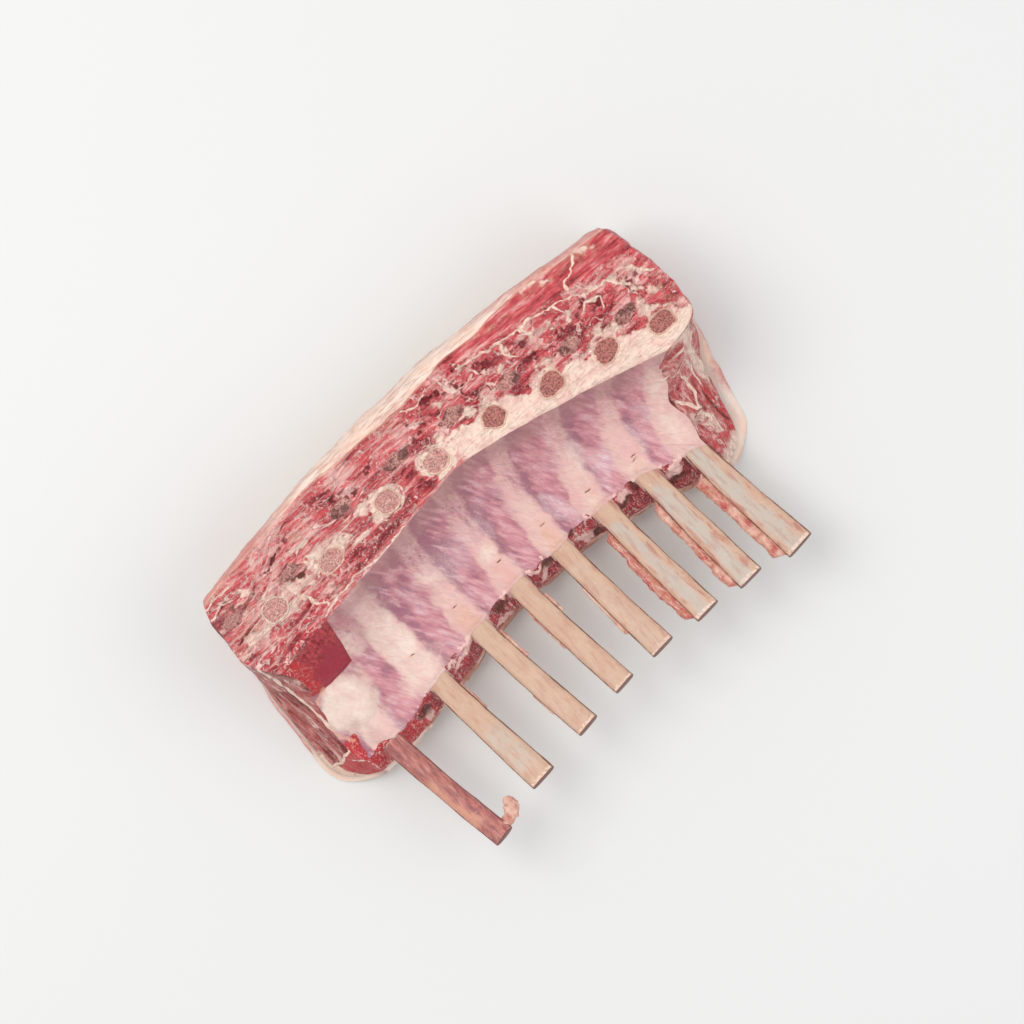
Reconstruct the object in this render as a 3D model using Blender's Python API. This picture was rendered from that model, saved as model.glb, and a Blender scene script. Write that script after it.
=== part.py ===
"""Raw rack of lamb with eight cleaned ribs, lying on its fat cap with the inner side of the ribs up.

Metres, +Z up. X runs along the row of ribs from the loin end (-X) to the shoulder end (+X). The rib tips
point to -Y and the sawn face, where the backbone was taken off, is at +Y. The origin is at the middle of
the footprint, on the board that the rack rests on.
"""

import math

import bmesh
import bpy
import numpy as np
from mathutils import Vector

COLLECTION = "rack_of_lamb"
CUTTERS = "cutters"

# The sawn face is one plane that falls gently towards the back.
FACE_SLOPE = 0.30
FACE_HEIGHT = 0.0445
FACE_Y = 0.033

# The inner side of the rib cage drops from the ridge to a floor and then rises towards the rib tips.
INNER_FLOOR = 0.0225
WALL_RUN = 0.0110
RISE_START = 0.030
RIB_RADIUS = 0.210
RIDGE_RELIEF = 0.0028
RIDGE_HALF_WIDTH = 0.0065

# Plan outline.
RIDGE_PEAK = Vector((0.003, 0.0325))
BACK_PEAK = 0.0675
BACK_DROP = 0.0080
HALF_LENGTH = 0.090
FRONT_MIDDLE = -0.0165
FRONT_DROP_SHOULDER = 0.0165
FRONT_DROP_LOIN = 0.0095
LEFT_END = -0.0995
RIGHT_END = 0.0975
RIGHT_BULGE = 0.0028

# The fat cap under and behind the meat.
FAT_UNDER = 0.0036
FAT_SHOULDER_EXTRA = 0.0030
FAT_BACK_ENDS = 0.0020
FAT_BACK_MIDDLE = 0.0045
GAP = 0.0003

# Bones.
MEMBRANE = 0.0011
RIB_THICKNESS = 0.0046
ROOT_WIDTH = 0.0078
HEAD_WIDTH = 0.0098
HEAD_THICKNESS = 0.0080
TURN_BEFORE_RIDGE = 0.0080
NECK_DEPTH = 0.0022
PROCESS_DEPTH = 0.0065
PROCESS_TAPER = 0.7

COLUMNS = 58
END_ROWS = 3
RIB_RINGS = 11
HEAD_RINGS = 3
RIB_SIDES = 8
PROCESS_SIDES = 12

# Each rib: x where it leaves the meat, how far its tip and its head lean to +X from there,
# y of the tip, y of the head in the sawn face, its width at the tip, and how late it bends towards its head.
RIBS = (
    (-0.0755, 0.0060, 0.0040, -0.0670, 0.0400, 0.0080, 2.5),
    (-0.0495, 0.0030, 0.0025, -0.0620, 0.0390, 0.0102, 2.5),
    (-0.0275, 0.0040, 0.0075, -0.0597, 0.0405, 0.0090, 3.2),
    (-0.0080, 0.0030, 0.0090, -0.0580, 0.0390, 0.0086, 3.4),
    (0.0110, 0.0018, 0.0140, -0.0580, 0.0360, 0.0094, 3.4),
    (0.0305, 0.0015, 0.0160, -0.0598, 0.0310, 0.0096, 3.2),
    (0.0490, 0.0012, 0.0180, -0.0620, 0.0260, 0.0098, 2.9),
    (0.0665, 0.0034, 0.0205, -0.0655, 0.0205, 0.0112, 2.2),
)
ROOT_Y = -0.015

# Each strip of meat left along the -X side of a rib: rib, y where it starts and ends, its width.
STRIPS = (
    (5, -0.0250, -0.0480, 0.0012),
    (6, -0.0215, -0.0590, 0.0024),
    (7, -0.0250, -0.0610, 0.0026),
    (8, -0.0300, -0.0640, 0.0038),
)
STRIP_RINGS = 8
STRIP_SIDES = 6

# The scrap of meat left at the tip of the first rib: x and y of each ring from the rib outwards, and its radius.
SCRAP = (
    (-0.0648, -0.0645, 0.0012),
    (-0.0624, -0.0640, 0.0019),
    (-0.0604, -0.0620, 0.0020),
    (-0.0608, -0.0598, 0.0014),
    (-0.0618, -0.0582, 0.0006),
)

# Each cut end of a vertebra's side process: x, y, half length and half width in the sawn face.
PROCESSES = (
    (-0.0845, 0.0470, 0.0040, 0.0024),
    (-0.0600, 0.0455, 0.0048, 0.0020),
    (-0.0330, 0.0490, 0.0050, 0.0026),
    (-0.0085, 0.0480, 0.0054, 0.0026),
    (0.0150, 0.0460, 0.0050, 0.0030),
    (0.0372, 0.0412, 0.0042, 0.0026),
    (0.0592, 0.0358, 0.0042, 0.0028),
    (0.0800, 0.0305, 0.0044, 0.0028),
)

COLOURS = {
    "meat": (0.42, 0.06, 0.07, 0.45, 0.0),
    "fat": (0.86, 0.62, 0.46, 0.50, 0.0),
    "bone": (0.74, 0.55, 0.40, 0.55, 0.0),
    "spongy_bone": (0.30, 0.13, 0.10, 0.70, 0.0),
}


def smoothstep(t):
    """0 to 1 with a soft start and end, for t from 0 to 1."""
    t = np.clip(t, 0.0, 1.0)
    return t * t * (3.0 - 2.0 * t)


# ---------------------------------------------------------------- the shape of the rack, in plan and height


def ridge_y(x):
    """Where the sawn face meets the inner side of the ribs."""
    loin = 0.0070 * np.clip((RIDGE_PEAK.x - x) / 0.066, 0.0, None) ** 1.1
    shoulder = 0.0195 * np.clip((x - RIDGE_PEAK.x) / 0.077, 0.0, None) ** 1.27
    return RIDGE_PEAK.y - loin - shoulder


def back_y(x):
    """The outline at the back, which bows out in the middle."""
    return BACK_PEAK - BACK_DROP * np.abs(x / HALF_LENGTH) ** 1.8


def front_y(x):
    """The lower edge of the meat between the ribs, which is longer at both ends."""
    shoulder = FRONT_DROP_SHOULDER * np.clip(x / 0.077, 0.0, 1.05) ** 1.7
    loin = FRONT_DROP_LOIN * np.clip(-x / 0.065, 0.0, 1.0) ** 1.7
    return FRONT_MIDDLE - shoulder - loin


def lip_y(x):
    """The upper edge of the cut between the ribs."""
    return front_y(x) + 0.0080 + 0.0040 * smoothstep((x - 0.015) / 0.030)


def face_z(y):
    """Height of the sawn face."""
    return FACE_HEIGHT - FACE_SLOPE * (y - FACE_Y)


def fat_back(x):
    """Thickness of the fat behind the sawn face."""
    return FAT_BACK_ENDS + FAT_BACK_MIDDLE * np.exp(-(((x - 0.005) / 0.045) ** 2))


def crest_z(x, y):
    """Height of the inner side along the top of a rib, from the ridge out to the rib tips."""
    run = np.clip(ridge_y(x) - y, 0.0, None)
    top = face_z(ridge_y(x))
    wall = (top - INNER_FLOOR) * (1.0 - np.exp(-run / WALL_RUN))
    rise = np.clip(run - RISE_START, 0.0, None) ** 2 / (2.0 * RIB_RADIUS)
    return top - wall + rise


def crest_slope(x, y):
    """How fast crest_z rises towards +Y."""
    step = 0.0004
    return (crest_z(x, y + step) - crest_z(x, y - step)) / (2.0 * step)


def rib_x(rib, y):
    """The middle line of a rib in plan."""
    root, tip_lean, head_lean, tip_y, head_y, _, bend = rib
    out = np.clip((ROOT_Y - y) / (ROOT_Y - tip_y), 0.0, 1.0)
    back = np.clip((y - ROOT_Y) / (head_y - ROOT_Y), 0.0, 1.0)
    return root + tip_lean * out**1.3 + head_lean * back**bend


def rib_width(rib, y):
    """A rib's width, which grows from the edge of the meat to the tip."""
    out = np.clip((ROOT_Y - y) / (ROOT_Y - rib[3]), 0.0, 1.0)
    return ROOT_WIDTH + (rib[5] - ROOT_WIDTH) * out**0.8


def inner_z(x, y):
    """Height of the inner side: rib ridges with the muscle between them lower."""
    nearest = np.full(np.broadcast(x, y).shape, 1.0)
    for rib in RIBS:
        nearest = np.minimum(nearest, np.abs(x - rib_x(rib, y)))
    low = smoothstep((nearest - 0.2 * RIDGE_HALF_WIDTH) / (1.3 * RIDGE_HALF_WIDTH))
    depth = RIDGE_RELIEF * smoothstep((ridge_y(x) - y) / 0.020)
    return crest_z(x, y) - depth * low


def end_x(side, y, z):
    """The two cut ends. Both slope outwards towards the board, more so below the ribs than at the back."""
    if side < 0:
        lean = 0.05 + 0.52 * (1.0 - smoothstep((y - 0.002) / 0.036))
        foot = LEFT_END + 0.15 * np.clip(y, 0.0, None)
        front = 0.013 * np.clip((-0.008 - y) / 0.018, 0.0, 1.0) ** 3
        back = 0.002 * np.clip((y - 0.052) / 0.008, 0.0, 1.5) ** 2
        return foot + lean * z + front + back
    lean = 0.02 + 0.78 * (1.0 - smoothstep((y + 0.002) / 0.020))
    foot = RIGHT_END - 0.30 * np.clip(0.010 - y, 0.0, None)
    bulge = RIGHT_BULGE * np.exp(-(((y - 0.031) / 0.010) ** 2))
    front = 0.010 * np.clip((-0.018 - y) / 0.015, 0.0, 1.1) ** 2.5
    back = 0.005 * np.clip((y - 0.050) / 0.010, 0.0, 1.5) ** 2
    return foot + bulge - lean * z - front - back


# ---------------------------------------------------------------- sections of the meat and of the fat cap


def fat_curves(x):
    """Two matching lines in the section at x, from the front edge under the rack and up behind it: the outer
    side of the fat cap, and where it meets the meat. Each is a list of (y, z) pairs."""
    front, back = front_y(x), back_y(x)
    strip = fat_back(x)
    top = face_z(back - strip)
    under = FAT_UNDER + FAT_SHOULDER_EXTRA * smoothstep(x / 0.08)
    flat = 0.0 * x
    outer = [
        (front + 0.0004, flat + 0.0080),
        (front, flat + 0.0048),
        (front + 0.0034, flat + 0.0014),
        (front + 0.0110, flat),
        (0.65 * front + 0.35 * back, flat),
        (0.35 * front + 0.65 * back, flat),
        (back - 0.0130, flat),
        (back - 0.0060, 0.09 * top),
        (back - 0.0012, 0.28 * top),
        (back, 0.54 * top),
        (back - 0.30 * strip, 0.84 * top),
        (back - strip + 0.0006, top - 0.0004),
    ]
    inner = [
        (front + 0.0012, flat + 0.0084),
        (front + 0.0036, flat + 0.0068),
        (front + 0.0080, flat + 0.0050),
        (front + 0.0150, under),
        (0.65 * front + 0.35 * back, under),
        (0.37 * front + 0.63 * back, under),
        (back - 0.0160, under + 0.0010),
        (back - 0.0100, 0.22 * top),
        (back - 0.8 * strip - 0.0030, 0.38 * top),
        (back - strip - 0.0014, 0.58 * top),
        (back - strip - 0.0006, 0.82 * top),
        (back - strip, top - 0.0002),
    ]
    return outer, inner


def meat_top(x):
    """The section's upper line from the front edge to the sawn face's back edge."""
    front, lip, ridge = front_y(x), lip_y(x), ridge_y(x)
    edge = back_y(x) - fat_back(x)
    lip_z = inner_z(x, lip)
    line = [(front + 0.0015, 0.0 * x + 0.0090)]
    line.append((0.5 * front + 0.5 * lip, 0.0045 + 0.55 * lip_z))
    for share in (0.0, 0.25, 0.48, 0.66, 0.79, 0.88, 0.95):
        y = lip + share * (ridge - lip)
        line.append((y, inner_z(x, y)))
    for share in (0.0, 0.50, 0.985):
        y = ridge + share * (edge - ridge)
        line.append((y, face_z(y)))
    return line


def placed(columns, section):
    """The points of a section's line at each column between the two cut ends, as an array (column, point, 3).
    A point's x depends on its own height, because the ends slope, so it is found in a few rounds."""
    share = np.linspace(0.0, 1.0, columns)
    count = len(section(np.zeros(1)))
    found = np.empty((columns, count, 3))
    for i in range(count):
        x = LEFT_END + share * (RIGHT_END - LEFT_END)
        for _ in range(6):
            y, z = section(x)[i]
            x = (1.0 - share) * end_x(-1, y, z) + share * end_x(1, y, z)
        found[:, i] = np.stack([x, y, z + 0.0 * x], axis=1)
    return found


# ---------------------------------------------------------------- meshes


def material(name):
    """A Principled material in one of the rack's plain colours."""
    found = bpy.data.materials.get(name)
    if found:
        return found
    red, green, blue, roughness, metallic = COLOURS[name]
    made = bpy.data.materials.new(name)
    made.use_nodes = True
    shader = made.node_tree.nodes["Principled BSDF"]
    shader.inputs["Base Color"].default_value = (red, green, blue, 1.0)
    shader.inputs["Roughness"].default_value = roughness
    shader.inputs["Metallic"].default_value = metallic
    made.diffuse_color = (red, green, blue, 1.0)
    return made


def add_object(name, bm, finish, collection):
    """Makes an object of a bmesh, with its faces turned outwards."""
    bmesh.ops.recalc_face_normals(bm, faces=bm.faces)
    mesh = bpy.data.meshes.new(name)
    bm.to_mesh(mesh)
    bm.free()
    mesh.shade_smooth()
    mesh.set_sharp_from_angle(angle=math.radians(40))
    mesh.materials.append(material(finish))
    made = bpy.data.objects.new(name, mesh)
    collection.objects.link(made)
    return made


def loft(rings, end_rows=None):
    """A closed bmesh through rings of equal length. Without end_rows, each end is one flat fan. With it, an
    end joins the ring's two matching halves across, through that many rows that lie on the rack's end."""
    bm = bmesh.new()
    rows = [[bm.verts.new(point) for point in ring] for ring in rings]
    sides = len(rows[0])
    for low, high in zip(rows, rows[1:], strict=False):
        for i in range(sides):
            j = (i + 1) % sides
            bm.faces.new((low[i], low[j], high[j], high[i]))
    if end_rows is None:
        bm.faces.new(rows[0])
        bm.faces.new(rows[-1])
    else:
        close_end(bm, rows[0], -1, end_rows)
        close_end(bm, rows[-1], 1, end_rows)
    bmesh.ops.triangulate(bm, faces=bm.faces)
    return bm


def close_end(bm, row, side, end_rows):
    """Closes the rack's cut end on one side."""
    half = len(row) // 2
    across = []
    for i in range(half):
        line = [row[i], row[-1 - i]]
        if 0 < i < half - 1:
            for k in range(end_rows):
                _, y, z = line[0].co.lerp(row[-1 - i].co, (k + 1) / (end_rows + 1))
                line.insert(-1, bm.verts.new((end_x(side, y, z), y, z)))
        across.append(line)
    for i in range(half - 1):
        if i in (0, half - 2):
            bm.faces.new(across[i] + across[i + 1][::-1])
            continue
        for k in range(end_rows + 1):
            corners = (across[i][k], across[i][k + 1], across[i + 1][k + 1], across[i + 1][k])
            bm.faces.new(corners)


def inset(lines, distance):
    """Moves the points of each column's line sideways in its section, to the line's left."""
    moved = lines.copy()
    along = np.gradient(lines[:, :, 1:], axis=1)
    along /= np.linalg.norm(along, axis=2, keepdims=True)
    moved[:, :, 1] -= distance * along[:, :, 1]
    moved[:, :, 2] += distance * along[:, :, 0]
    return moved


def make_fat_cap(collection):
    """The fat on the outer side: under the meat, round its front edge and up behind the sawn face."""
    outer = placed(COLUMNS, lambda x: fat_curves(x)[0])
    inner = inset(placed(COLUMNS, lambda x: fat_curves(x)[1]), -0.5 * GAP)
    rings = np.concatenate([outer, inner[:, ::-1]], axis=1)
    return add_object("fat_cap", loft(rings, end_rows=0), "fat", collection)


def make_meat(collection):
    """The meat: loin, the muscle between the ribs and the membrane over them, before the bones are cut out."""
    top = placed(COLUMNS, meat_top)
    under = inset(placed(COLUMNS, lambda x: fat_curves(x)[1]), 0.5 * GAP)
    rings = np.concatenate([top, under[:, ::-1]], axis=1)
    return add_object("loin_meat", loft(rings, END_ROWS), "meat", collection)


def rib_path(rib):
    """Middle points along a rib, each with its direction, from the tip to the head in the sawn face. The bone
    runs just under the inner side, then turns up inside the ridge to meet the face squarely."""
    tip_y, head_y = rib[3:5]
    turn_y = float(ridge_y(rib_x(rib, head_y))) - TURN_BEFORE_RIDGE
    path = []
    for step in range(RIB_RINGS - HEAD_RINGS):
        share = step / (RIB_RINGS - HEAD_RINGS - 1)
        y = tip_y + share * (turn_y - tip_y)
        slope = float(crest_slope(rib_x(rib, y), y))
        lean = float(rib_x(rib, y + 0.001) - rib_x(rib, y - 0.001)) / 0.002
        along = Vector((lean, 1.0, slope)).normalized()
        up = Vector((0.0, -slope, 1.0)).normalized()
        depth = MEMBRANE + RIB_THICKNESS / 2 + NECK_DEPTH * smoothstep((y - turn_y + 0.014) / 0.014)
        x = float(rib_x(rib, y))
        path.append((Vector((x, y, float(crest_z(x, y)))) - up * depth, along))
    start, leaving = path[-1]
    head = Vector((float(rib_x(rib, head_y)), head_y, float(face_z(head_y))))
    arriving = Vector((0.0, FACE_SLOPE, 1.0)).normalized()
    pull = (head - start).length
    for step in range(1, HEAD_RINGS + 1):
        t = step / HEAD_RINGS
        middle = (
            start * (2 * t**3 - 3 * t**2 + 1)
            + leaving * (pull * (t**3 - 2 * t**2 + t))
            + head * (3 * t**2 - 2 * t**3)
            + arriving * (pull * (t**3 - t**2))
        )
        along = (
            start * (6 * t**2 - 6 * t)
            + leaving * (pull * (3 * t**2 - 4 * t + 1))
            + head * (6 * t - 6 * t**2)
            + arriving * (pull * (3 * t**2 - 2 * t))
        )
        path.append((middle, along.normalized()))
    return path


def rib_rings(rib, grow, head_lift):
    """Rings round a rib from its tip to its head. Grow widens them and carries the tip out, for the cutter,
    and head_lift adds a ring above the face."""
    path = rib_path(rib)
    tip, along = path[0]
    path[0] = (tip - along * (4.0 * grow), along)
    if head_lift:
        head, along = path[-1]
        path.append((head + along * head_lift, along))
    rings = []
    for step, (middle, along) in enumerate(path):
        late = smoothstep((step - RIB_RINGS + HEAD_RINGS + 1) / HEAD_RINGS)
        width = rib_width(rib, middle.y) + (HEAD_WIDTH - ROOT_WIDTH) * late
        thickness = RIB_THICKNESS + (HEAD_THICKNESS - RIB_THICKNESS) * late
        across = (Vector((1.0, 0.0, 0.0)) - along * along.x).normalized()
        reach = (width / 2 + grow, thickness / 2 + grow)
        rings.append(ring(middle, across, across.cross(along), *reach, 3.2 - late))
    return rings


def ring(middle, across, up, half_width, half_height, squareness, sides=RIB_SIDES):
    """Points of a rounded box or oval around a point."""
    points = []
    for i in range(sides):
        angle = 2.0 * math.pi * (i + 0.5) / sides
        c, s = math.cos(angle), math.sin(angle)
        reach = (abs(c) ** squareness + abs(s) ** squareness) ** (-1.0 / squareness)
        points.append(middle + across * (c * reach * half_width) + up * (s * reach * half_height))
    return points


def process_peg(place, grow, lift):
    """A tapered oval peg that goes down from the sawn face. Lift carries its top above the face."""
    x, y, half_length, half_width = place
    down = Vector((0.0, -FACE_SLOPE, -1.0)).normalized()
    across = Vector((0.0, 1.0, -FACE_SLOPE)).normalized()
    top = Vector((x, y, face_z(y)))
    rings = []
    for depth in (-lift, PROCESS_DEPTH + grow):
        size = 1.0 - (1.0 - PROCESS_TAPER) * depth / PROCESS_DEPTH
        reach = (half_length * size + grow, half_width * size + grow)
        rings.append(ring(top + down * depth, Vector((1, 0, 0)), across, *reach, 2.0, PROCESS_SIDES))
    return loft(rings)


def make_bones(collection, cutters):
    """The ribs and the cut stumps of the vertebrae, and one cutter that leaves room for all of them."""
    room = bmesh.new()
    for number, rib in enumerate(RIBS, start=1):
        add_object(f"rib_{number}", loft(rib_rings(rib, 0.0, 0.0)), "bone", collection)
        add_to(room, loft(rib_rings(rib, GAP, 0.002)))
    for number, place in enumerate(PROCESSES, start=1):
        add_object(f"process_{number}", process_peg(place, 0.0, 0.0), "spongy_bone", collection)
        add_to(room, process_peg(place, GAP, 0.002))
    return add_object("bone_room", room, "bone", cutters)


def strip_rings(rib, start, end, width):
    """Rings along a strip of meat on the -X side of a rib. The strip is uneven, as a knife leaves it."""
    rings = []
    for step in range(STRIP_RINGS):
        share = step / (STRIP_RINGS - 1)
        y = start + share * (end - start)
        ends = min(1.0, 6.0 * share + 0.25, 6.0 * (1.0 - share) + 0.25)
        wide = width * ends * (0.84 + 0.16 * math.sin(9.0 * share + 40.0 * start))
        side = float(rib_x(rib, y)) - float(rib_width(rib, y)) / 2 - GAP
        slope = float(crest_slope(rib_x(rib, y), y))
        up = Vector((0.0, -slope, 1.0)).normalized()
        top = Vector((side - wide / 2, y, float(crest_z(rib_x(rib, y), y))))
        middle = top - up * (MEMBRANE + 0.55 * RIB_THICKNESS)
        rings.append(ring(middle, Vector((1, 0, 0)), up, wide / 2, 0.33 * RIB_THICKNESS * ends, 2.2, STRIP_SIDES))
    return rings


def scrap_rings():
    """Rings along the scrap of meat at the tip of the first rib."""
    middles = []
    for x, y, _ in SCRAP:
        middles.append(Vector((x, y, float(crest_z(x, y)) - MEMBRANE - RIB_THICKNESS / 2)))
    rings = []
    for i, place in enumerate(SCRAP):
        along = (middles[min(i + 1, len(SCRAP) - 1)] - middles[max(i - 1, 0)]).normalized()
        across = Vector((0, 0, 1)).cross(along).normalized()
        rings.append(ring(middles[i], across, along.cross(across), place[2], place[2], 2.0, STRIP_SIDES))
    return rings


def make_trimmings(collection):
    """Meat left on the bare part of the ribs."""
    for number, start, end, width in STRIPS:
        strip = loft(strip_rings(RIBS[number - 1], start, end, width))
        add_object(f"rib_meat_{number}", strip, "meat", collection)
    add_object("rib_meat_1", loft(scrap_rings()), "meat", collection)


def add_to(whole, piece):
    """Adds a piece's faces to a bmesh."""
    copies = {vert: whole.verts.new(vert.co) for vert in piece.verts}
    for face in piece.faces:
        whole.faces.new([copies[vert] for vert in face.verts])
    piece.free()


def cut_out(body, cutter):
    """Takes a cutter's shape out of the body."""
    cutter.hide_render = True
    cutter.display_type = "WIRE"
    cut = body.modifiers.new(cutter.name, "BOOLEAN")
    cut.operation = "DIFFERENCE"
    cut.object = cutter
    cut.solver = "EXACT"


def main():
    for old in list(bpy.data.objects):
        bpy.data.objects.remove(old)
    collection = bpy.data.collections.new(COLLECTION)
    cutters = bpy.data.collections.new(CUTTERS)
    for made in (collection, cutters):
        bpy.context.scene.collection.children.link(made)
    meat = make_meat(collection)
    make_fat_cap(collection)
    make_trimmings(collection)
    cut_out(meat, make_bones(collection, cutters))


main()
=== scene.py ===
"""Raw rack of lamb: the meat, fat, membranes and bones as they look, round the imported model.

The rack lies on its fat cap. X runs from the loin end (-X) to the shoulder end (+X), the rib tips point
to -Y, and the sawn face, where the backbone was taken off, is at +Y. Metres, +Z up.
"""

import math
from types import SimpleNamespace

import bpy
import numpy as np
from bpy.props import FloatProperty, FloatVectorProperty, IntProperty, PointerProperty
from bpy.types import Operator, Panel, PropertyGroup
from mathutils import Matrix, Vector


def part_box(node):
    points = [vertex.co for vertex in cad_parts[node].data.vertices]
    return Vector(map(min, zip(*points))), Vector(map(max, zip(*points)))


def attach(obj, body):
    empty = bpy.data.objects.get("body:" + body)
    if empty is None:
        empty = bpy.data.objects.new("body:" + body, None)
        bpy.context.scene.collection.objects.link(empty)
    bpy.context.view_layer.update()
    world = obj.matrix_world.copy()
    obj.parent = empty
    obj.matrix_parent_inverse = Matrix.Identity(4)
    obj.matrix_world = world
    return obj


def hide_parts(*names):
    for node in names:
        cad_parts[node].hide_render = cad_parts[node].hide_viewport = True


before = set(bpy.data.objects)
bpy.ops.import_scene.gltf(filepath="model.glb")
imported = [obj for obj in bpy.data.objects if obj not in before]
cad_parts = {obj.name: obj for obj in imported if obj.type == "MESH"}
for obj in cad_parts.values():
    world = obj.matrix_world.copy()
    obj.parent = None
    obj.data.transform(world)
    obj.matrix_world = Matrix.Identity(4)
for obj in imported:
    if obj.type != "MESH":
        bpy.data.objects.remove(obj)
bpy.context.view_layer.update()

bl_info = {
    "name": "Rack of lamb",
    "version": (1, 0, 0),
    "blender": (4, 5, 0),
    "location": "View3D > Sidebar > Rack of lamb",
    "description": "Builds the meat, fat and bones of a raw rack of lamb",
    "category": "Add Mesh",
}

# ----------------------------------------------------------------------------------------- the rack's shape

FACE_SLOPE = 0.30
FACE_HEIGHT = 0.0445
FACE_Y = 0.033
INNER_FLOOR = 0.0225
WALL_RUN = 0.0110
RISE_START = 0.030
RIB_RADIUS = 0.210
RIDGE_RELIEF = 0.0028
RIDGE_HALF_WIDTH = 0.0065
RIDGE_PEAK = (0.003, 0.0325)
BACK_PEAK = 0.0675
BACK_DROP = 0.0080
HALF_LENGTH = 0.090
FRONT_MIDDLE = -0.0165
FRONT_DROP_SHOULDER = 0.0165
FRONT_DROP_LOIN = 0.0095
LEFT_END = -0.0995
RIGHT_END = 0.0975
RIGHT_BULGE = 0.0028
FAT_UNDER = 0.0036
FAT_SHOULDER_EXTRA = 0.0030
FAT_BACK_ENDS = 0.0020
FAT_BACK_MIDDLE = 0.0045
MEMBRANE = 0.0011
RIB_THICKNESS = 0.0046
ROOT_WIDTH = 0.0078
HEAD_WIDTH = 0.0098
HEAD_THICKNESS = 0.0080
TURN_BEFORE_RIDGE = 0.0080
NECK_DEPTH = 0.0022
ROOT_Y = -0.015
FACE_UP = np.array([0.0, FACE_SLOPE, 1.0]) / math.hypot(FACE_SLOPE, 1.0)
FACE_ACROSS = np.array([0.0, 1.0, -FACE_SLOPE]) / math.hypot(FACE_SLOPE, 1.0)
X_AXIS = np.array([1.0, 0.0, 0.0])
# The cut between the ribs takes this share of the rows of the inner side.
LIP_SHARE = 0.17

# Each rib: x where it leaves the meat, lean of its tip and of its head to +X, y of the head, width at the
# tip, and how late it bends towards its head.
RIB_FORMS = (
    (-0.0755, 0.0060, 0.0040, 0.0400, 0.0080, 2.5),
    (-0.0495, 0.0030, 0.0025, 0.0390, 0.0102, 2.5),
    (-0.0275, 0.0040, 0.0075, 0.0405, 0.0090, 3.2),
    (-0.0080, 0.0030, 0.0090, 0.0390, 0.0086, 3.4),
    (0.0110, 0.0018, 0.0140, 0.0360, 0.0094, 3.4),
    (0.0305, 0.0015, 0.0160, 0.0310, 0.0096, 3.2),
    (0.0490, 0.0012, 0.0180, 0.0260, 0.0098, 2.9),
    (0.0665, 0.0034, 0.0205, 0.0205, 0.0112, 2.2),
)


def with_tips(forms):
    """The ribs' forms with the y of each tip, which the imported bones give."""
    return [form + (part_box(f"rib_{number}")[0][1] + 0.0020,) for number, form in enumerate(forms, start=1)]


RIBS = with_tips(RIB_FORMS)


def smoothstep(t):
    """0 to 1 with a soft start and end, for t from 0 to 1."""
    t = np.clip(t, 0.0, 1.0)
    return t * t * (3.0 - 2.0 * t)


# ------------------------------------------------------------------------------------------- noise in space


def random_grid(i, j, k, seed):
    """A repeatable random number from 0 to 1 for each cell of a grid."""
    h = i.astype(np.uint32) * np.uint32(0x8DA6B343)
    h ^= j.astype(np.uint32) * np.uint32(0xD8163841)
    h ^= k.astype(np.uint32) * np.uint32(0xCB1AB31F)
    h ^= np.uint32((seed * 0x9E3779B9) & 0xFFFFFFFF)
    h ^= h >> np.uint32(15)
    h *= np.uint32(0x2C1B3C6D)
    h ^= h >> np.uint32(12)
    h *= np.uint32(0x297A2D39)
    h ^= h >> np.uint32(15)
    return h.astype(np.float64) / 4294967295.0


def noise(x, y, z=0.0, size=0.01, seed=1, octaves=1):
    """Smooth noise from -1 to 1 with features of about that size."""
    x, y, z = np.broadcast_arrays(x, y, z)
    total = np.zeros(x.shape)
    strength, whole = 1.0, 0.0
    for octave in range(octaves):
        px, py, pz = x / size + 1000.0, y / size + 1000.0, z / size + 1000.0
        ix, iy, iz = (np.floor(p).astype(np.int64) for p in (px, py, pz))
        fx, fy, fz = px - ix, py - iy, pz - iz
        sx, sy, sz = (f * f * f * (f * (f * 6 - 15) + 10) for f in (fx, fy, fz))
        value = 0.0
        for dx in (0, 1):
            for dy in (0, 1):
                for dz in (0, 1):
                    corner = random_grid(ix + dx, iy + dy, iz + dz, seed + 57 * octave)
                    near = (sx if dx else 1 - sx) * (sy if dy else 1 - sy) * (sz if dz else 1 - sz)
                    value = value + corner * near
        total += strength * (2.0 * value - 1.0)
        whole += strength
        strength *= 0.5
        size *= 0.5
    return total / whole


def threads(x, y, z=0.0, size=0.01, seed=1, octaves=2):
    """Thin winding crests: 1 on the line, 0 away from it."""
    return 1.0 - np.clip(np.abs(noise(x, y, z, size, seed, octaves)) * 4.0, 0.0, 1.0)


def cells(x, y, size, seed):
    """Cells of about that size: how far the nearest border is, 0 on it, and a random number for each cell."""
    px, py = x / size + 500.0, y / size + 500.0
    ix, iy = np.floor(px).astype(np.int64), np.floor(py).astype(np.int64)
    zero = 0 * ix
    first, second, shade = np.full(px.shape, 9.0), np.full(px.shape, 9.0), np.zeros(px.shape)
    for dx in (-1, 0, 1):
        for dy in (-1, 0, 1):
            jx, jy = ix + dx, iy + dy
            qx, qy = jx + random_grid(jx, jy, zero, seed), jy + random_grid(jx, jy, zero + 1, seed)
            away = np.hypot(px - qx, py - qy)
            second = np.where(away < first, first, np.minimum(second, away))
            shade = np.where(away < first, random_grid(jx, jy, zero + 2, seed), shade)
            first = np.minimum(first, away)
    return second - first, shade


def blots(x, y, places, soft=0.35):
    """How far inside any of some ovals, given in millimetres, a point is, 0 to 1."""
    x, y = 1000.0 * x, 1000.0 * y
    found = np.zeros(np.broadcast(x, y).shape)
    for cx, cy, width, height, turn in places:
        c, s = math.cos(math.radians(turn)), math.sin(math.radians(turn))
        u = ((x - cx) * c + (y - cy) * s) / width
        v = ((y - cy) * c - (x - cx) * s) / height
        found = np.maximum(found, 1.0 - smoothstep((np.hypot(u, v) - 1.0 + soft) / (2.0 * soft)))
    return found


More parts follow.
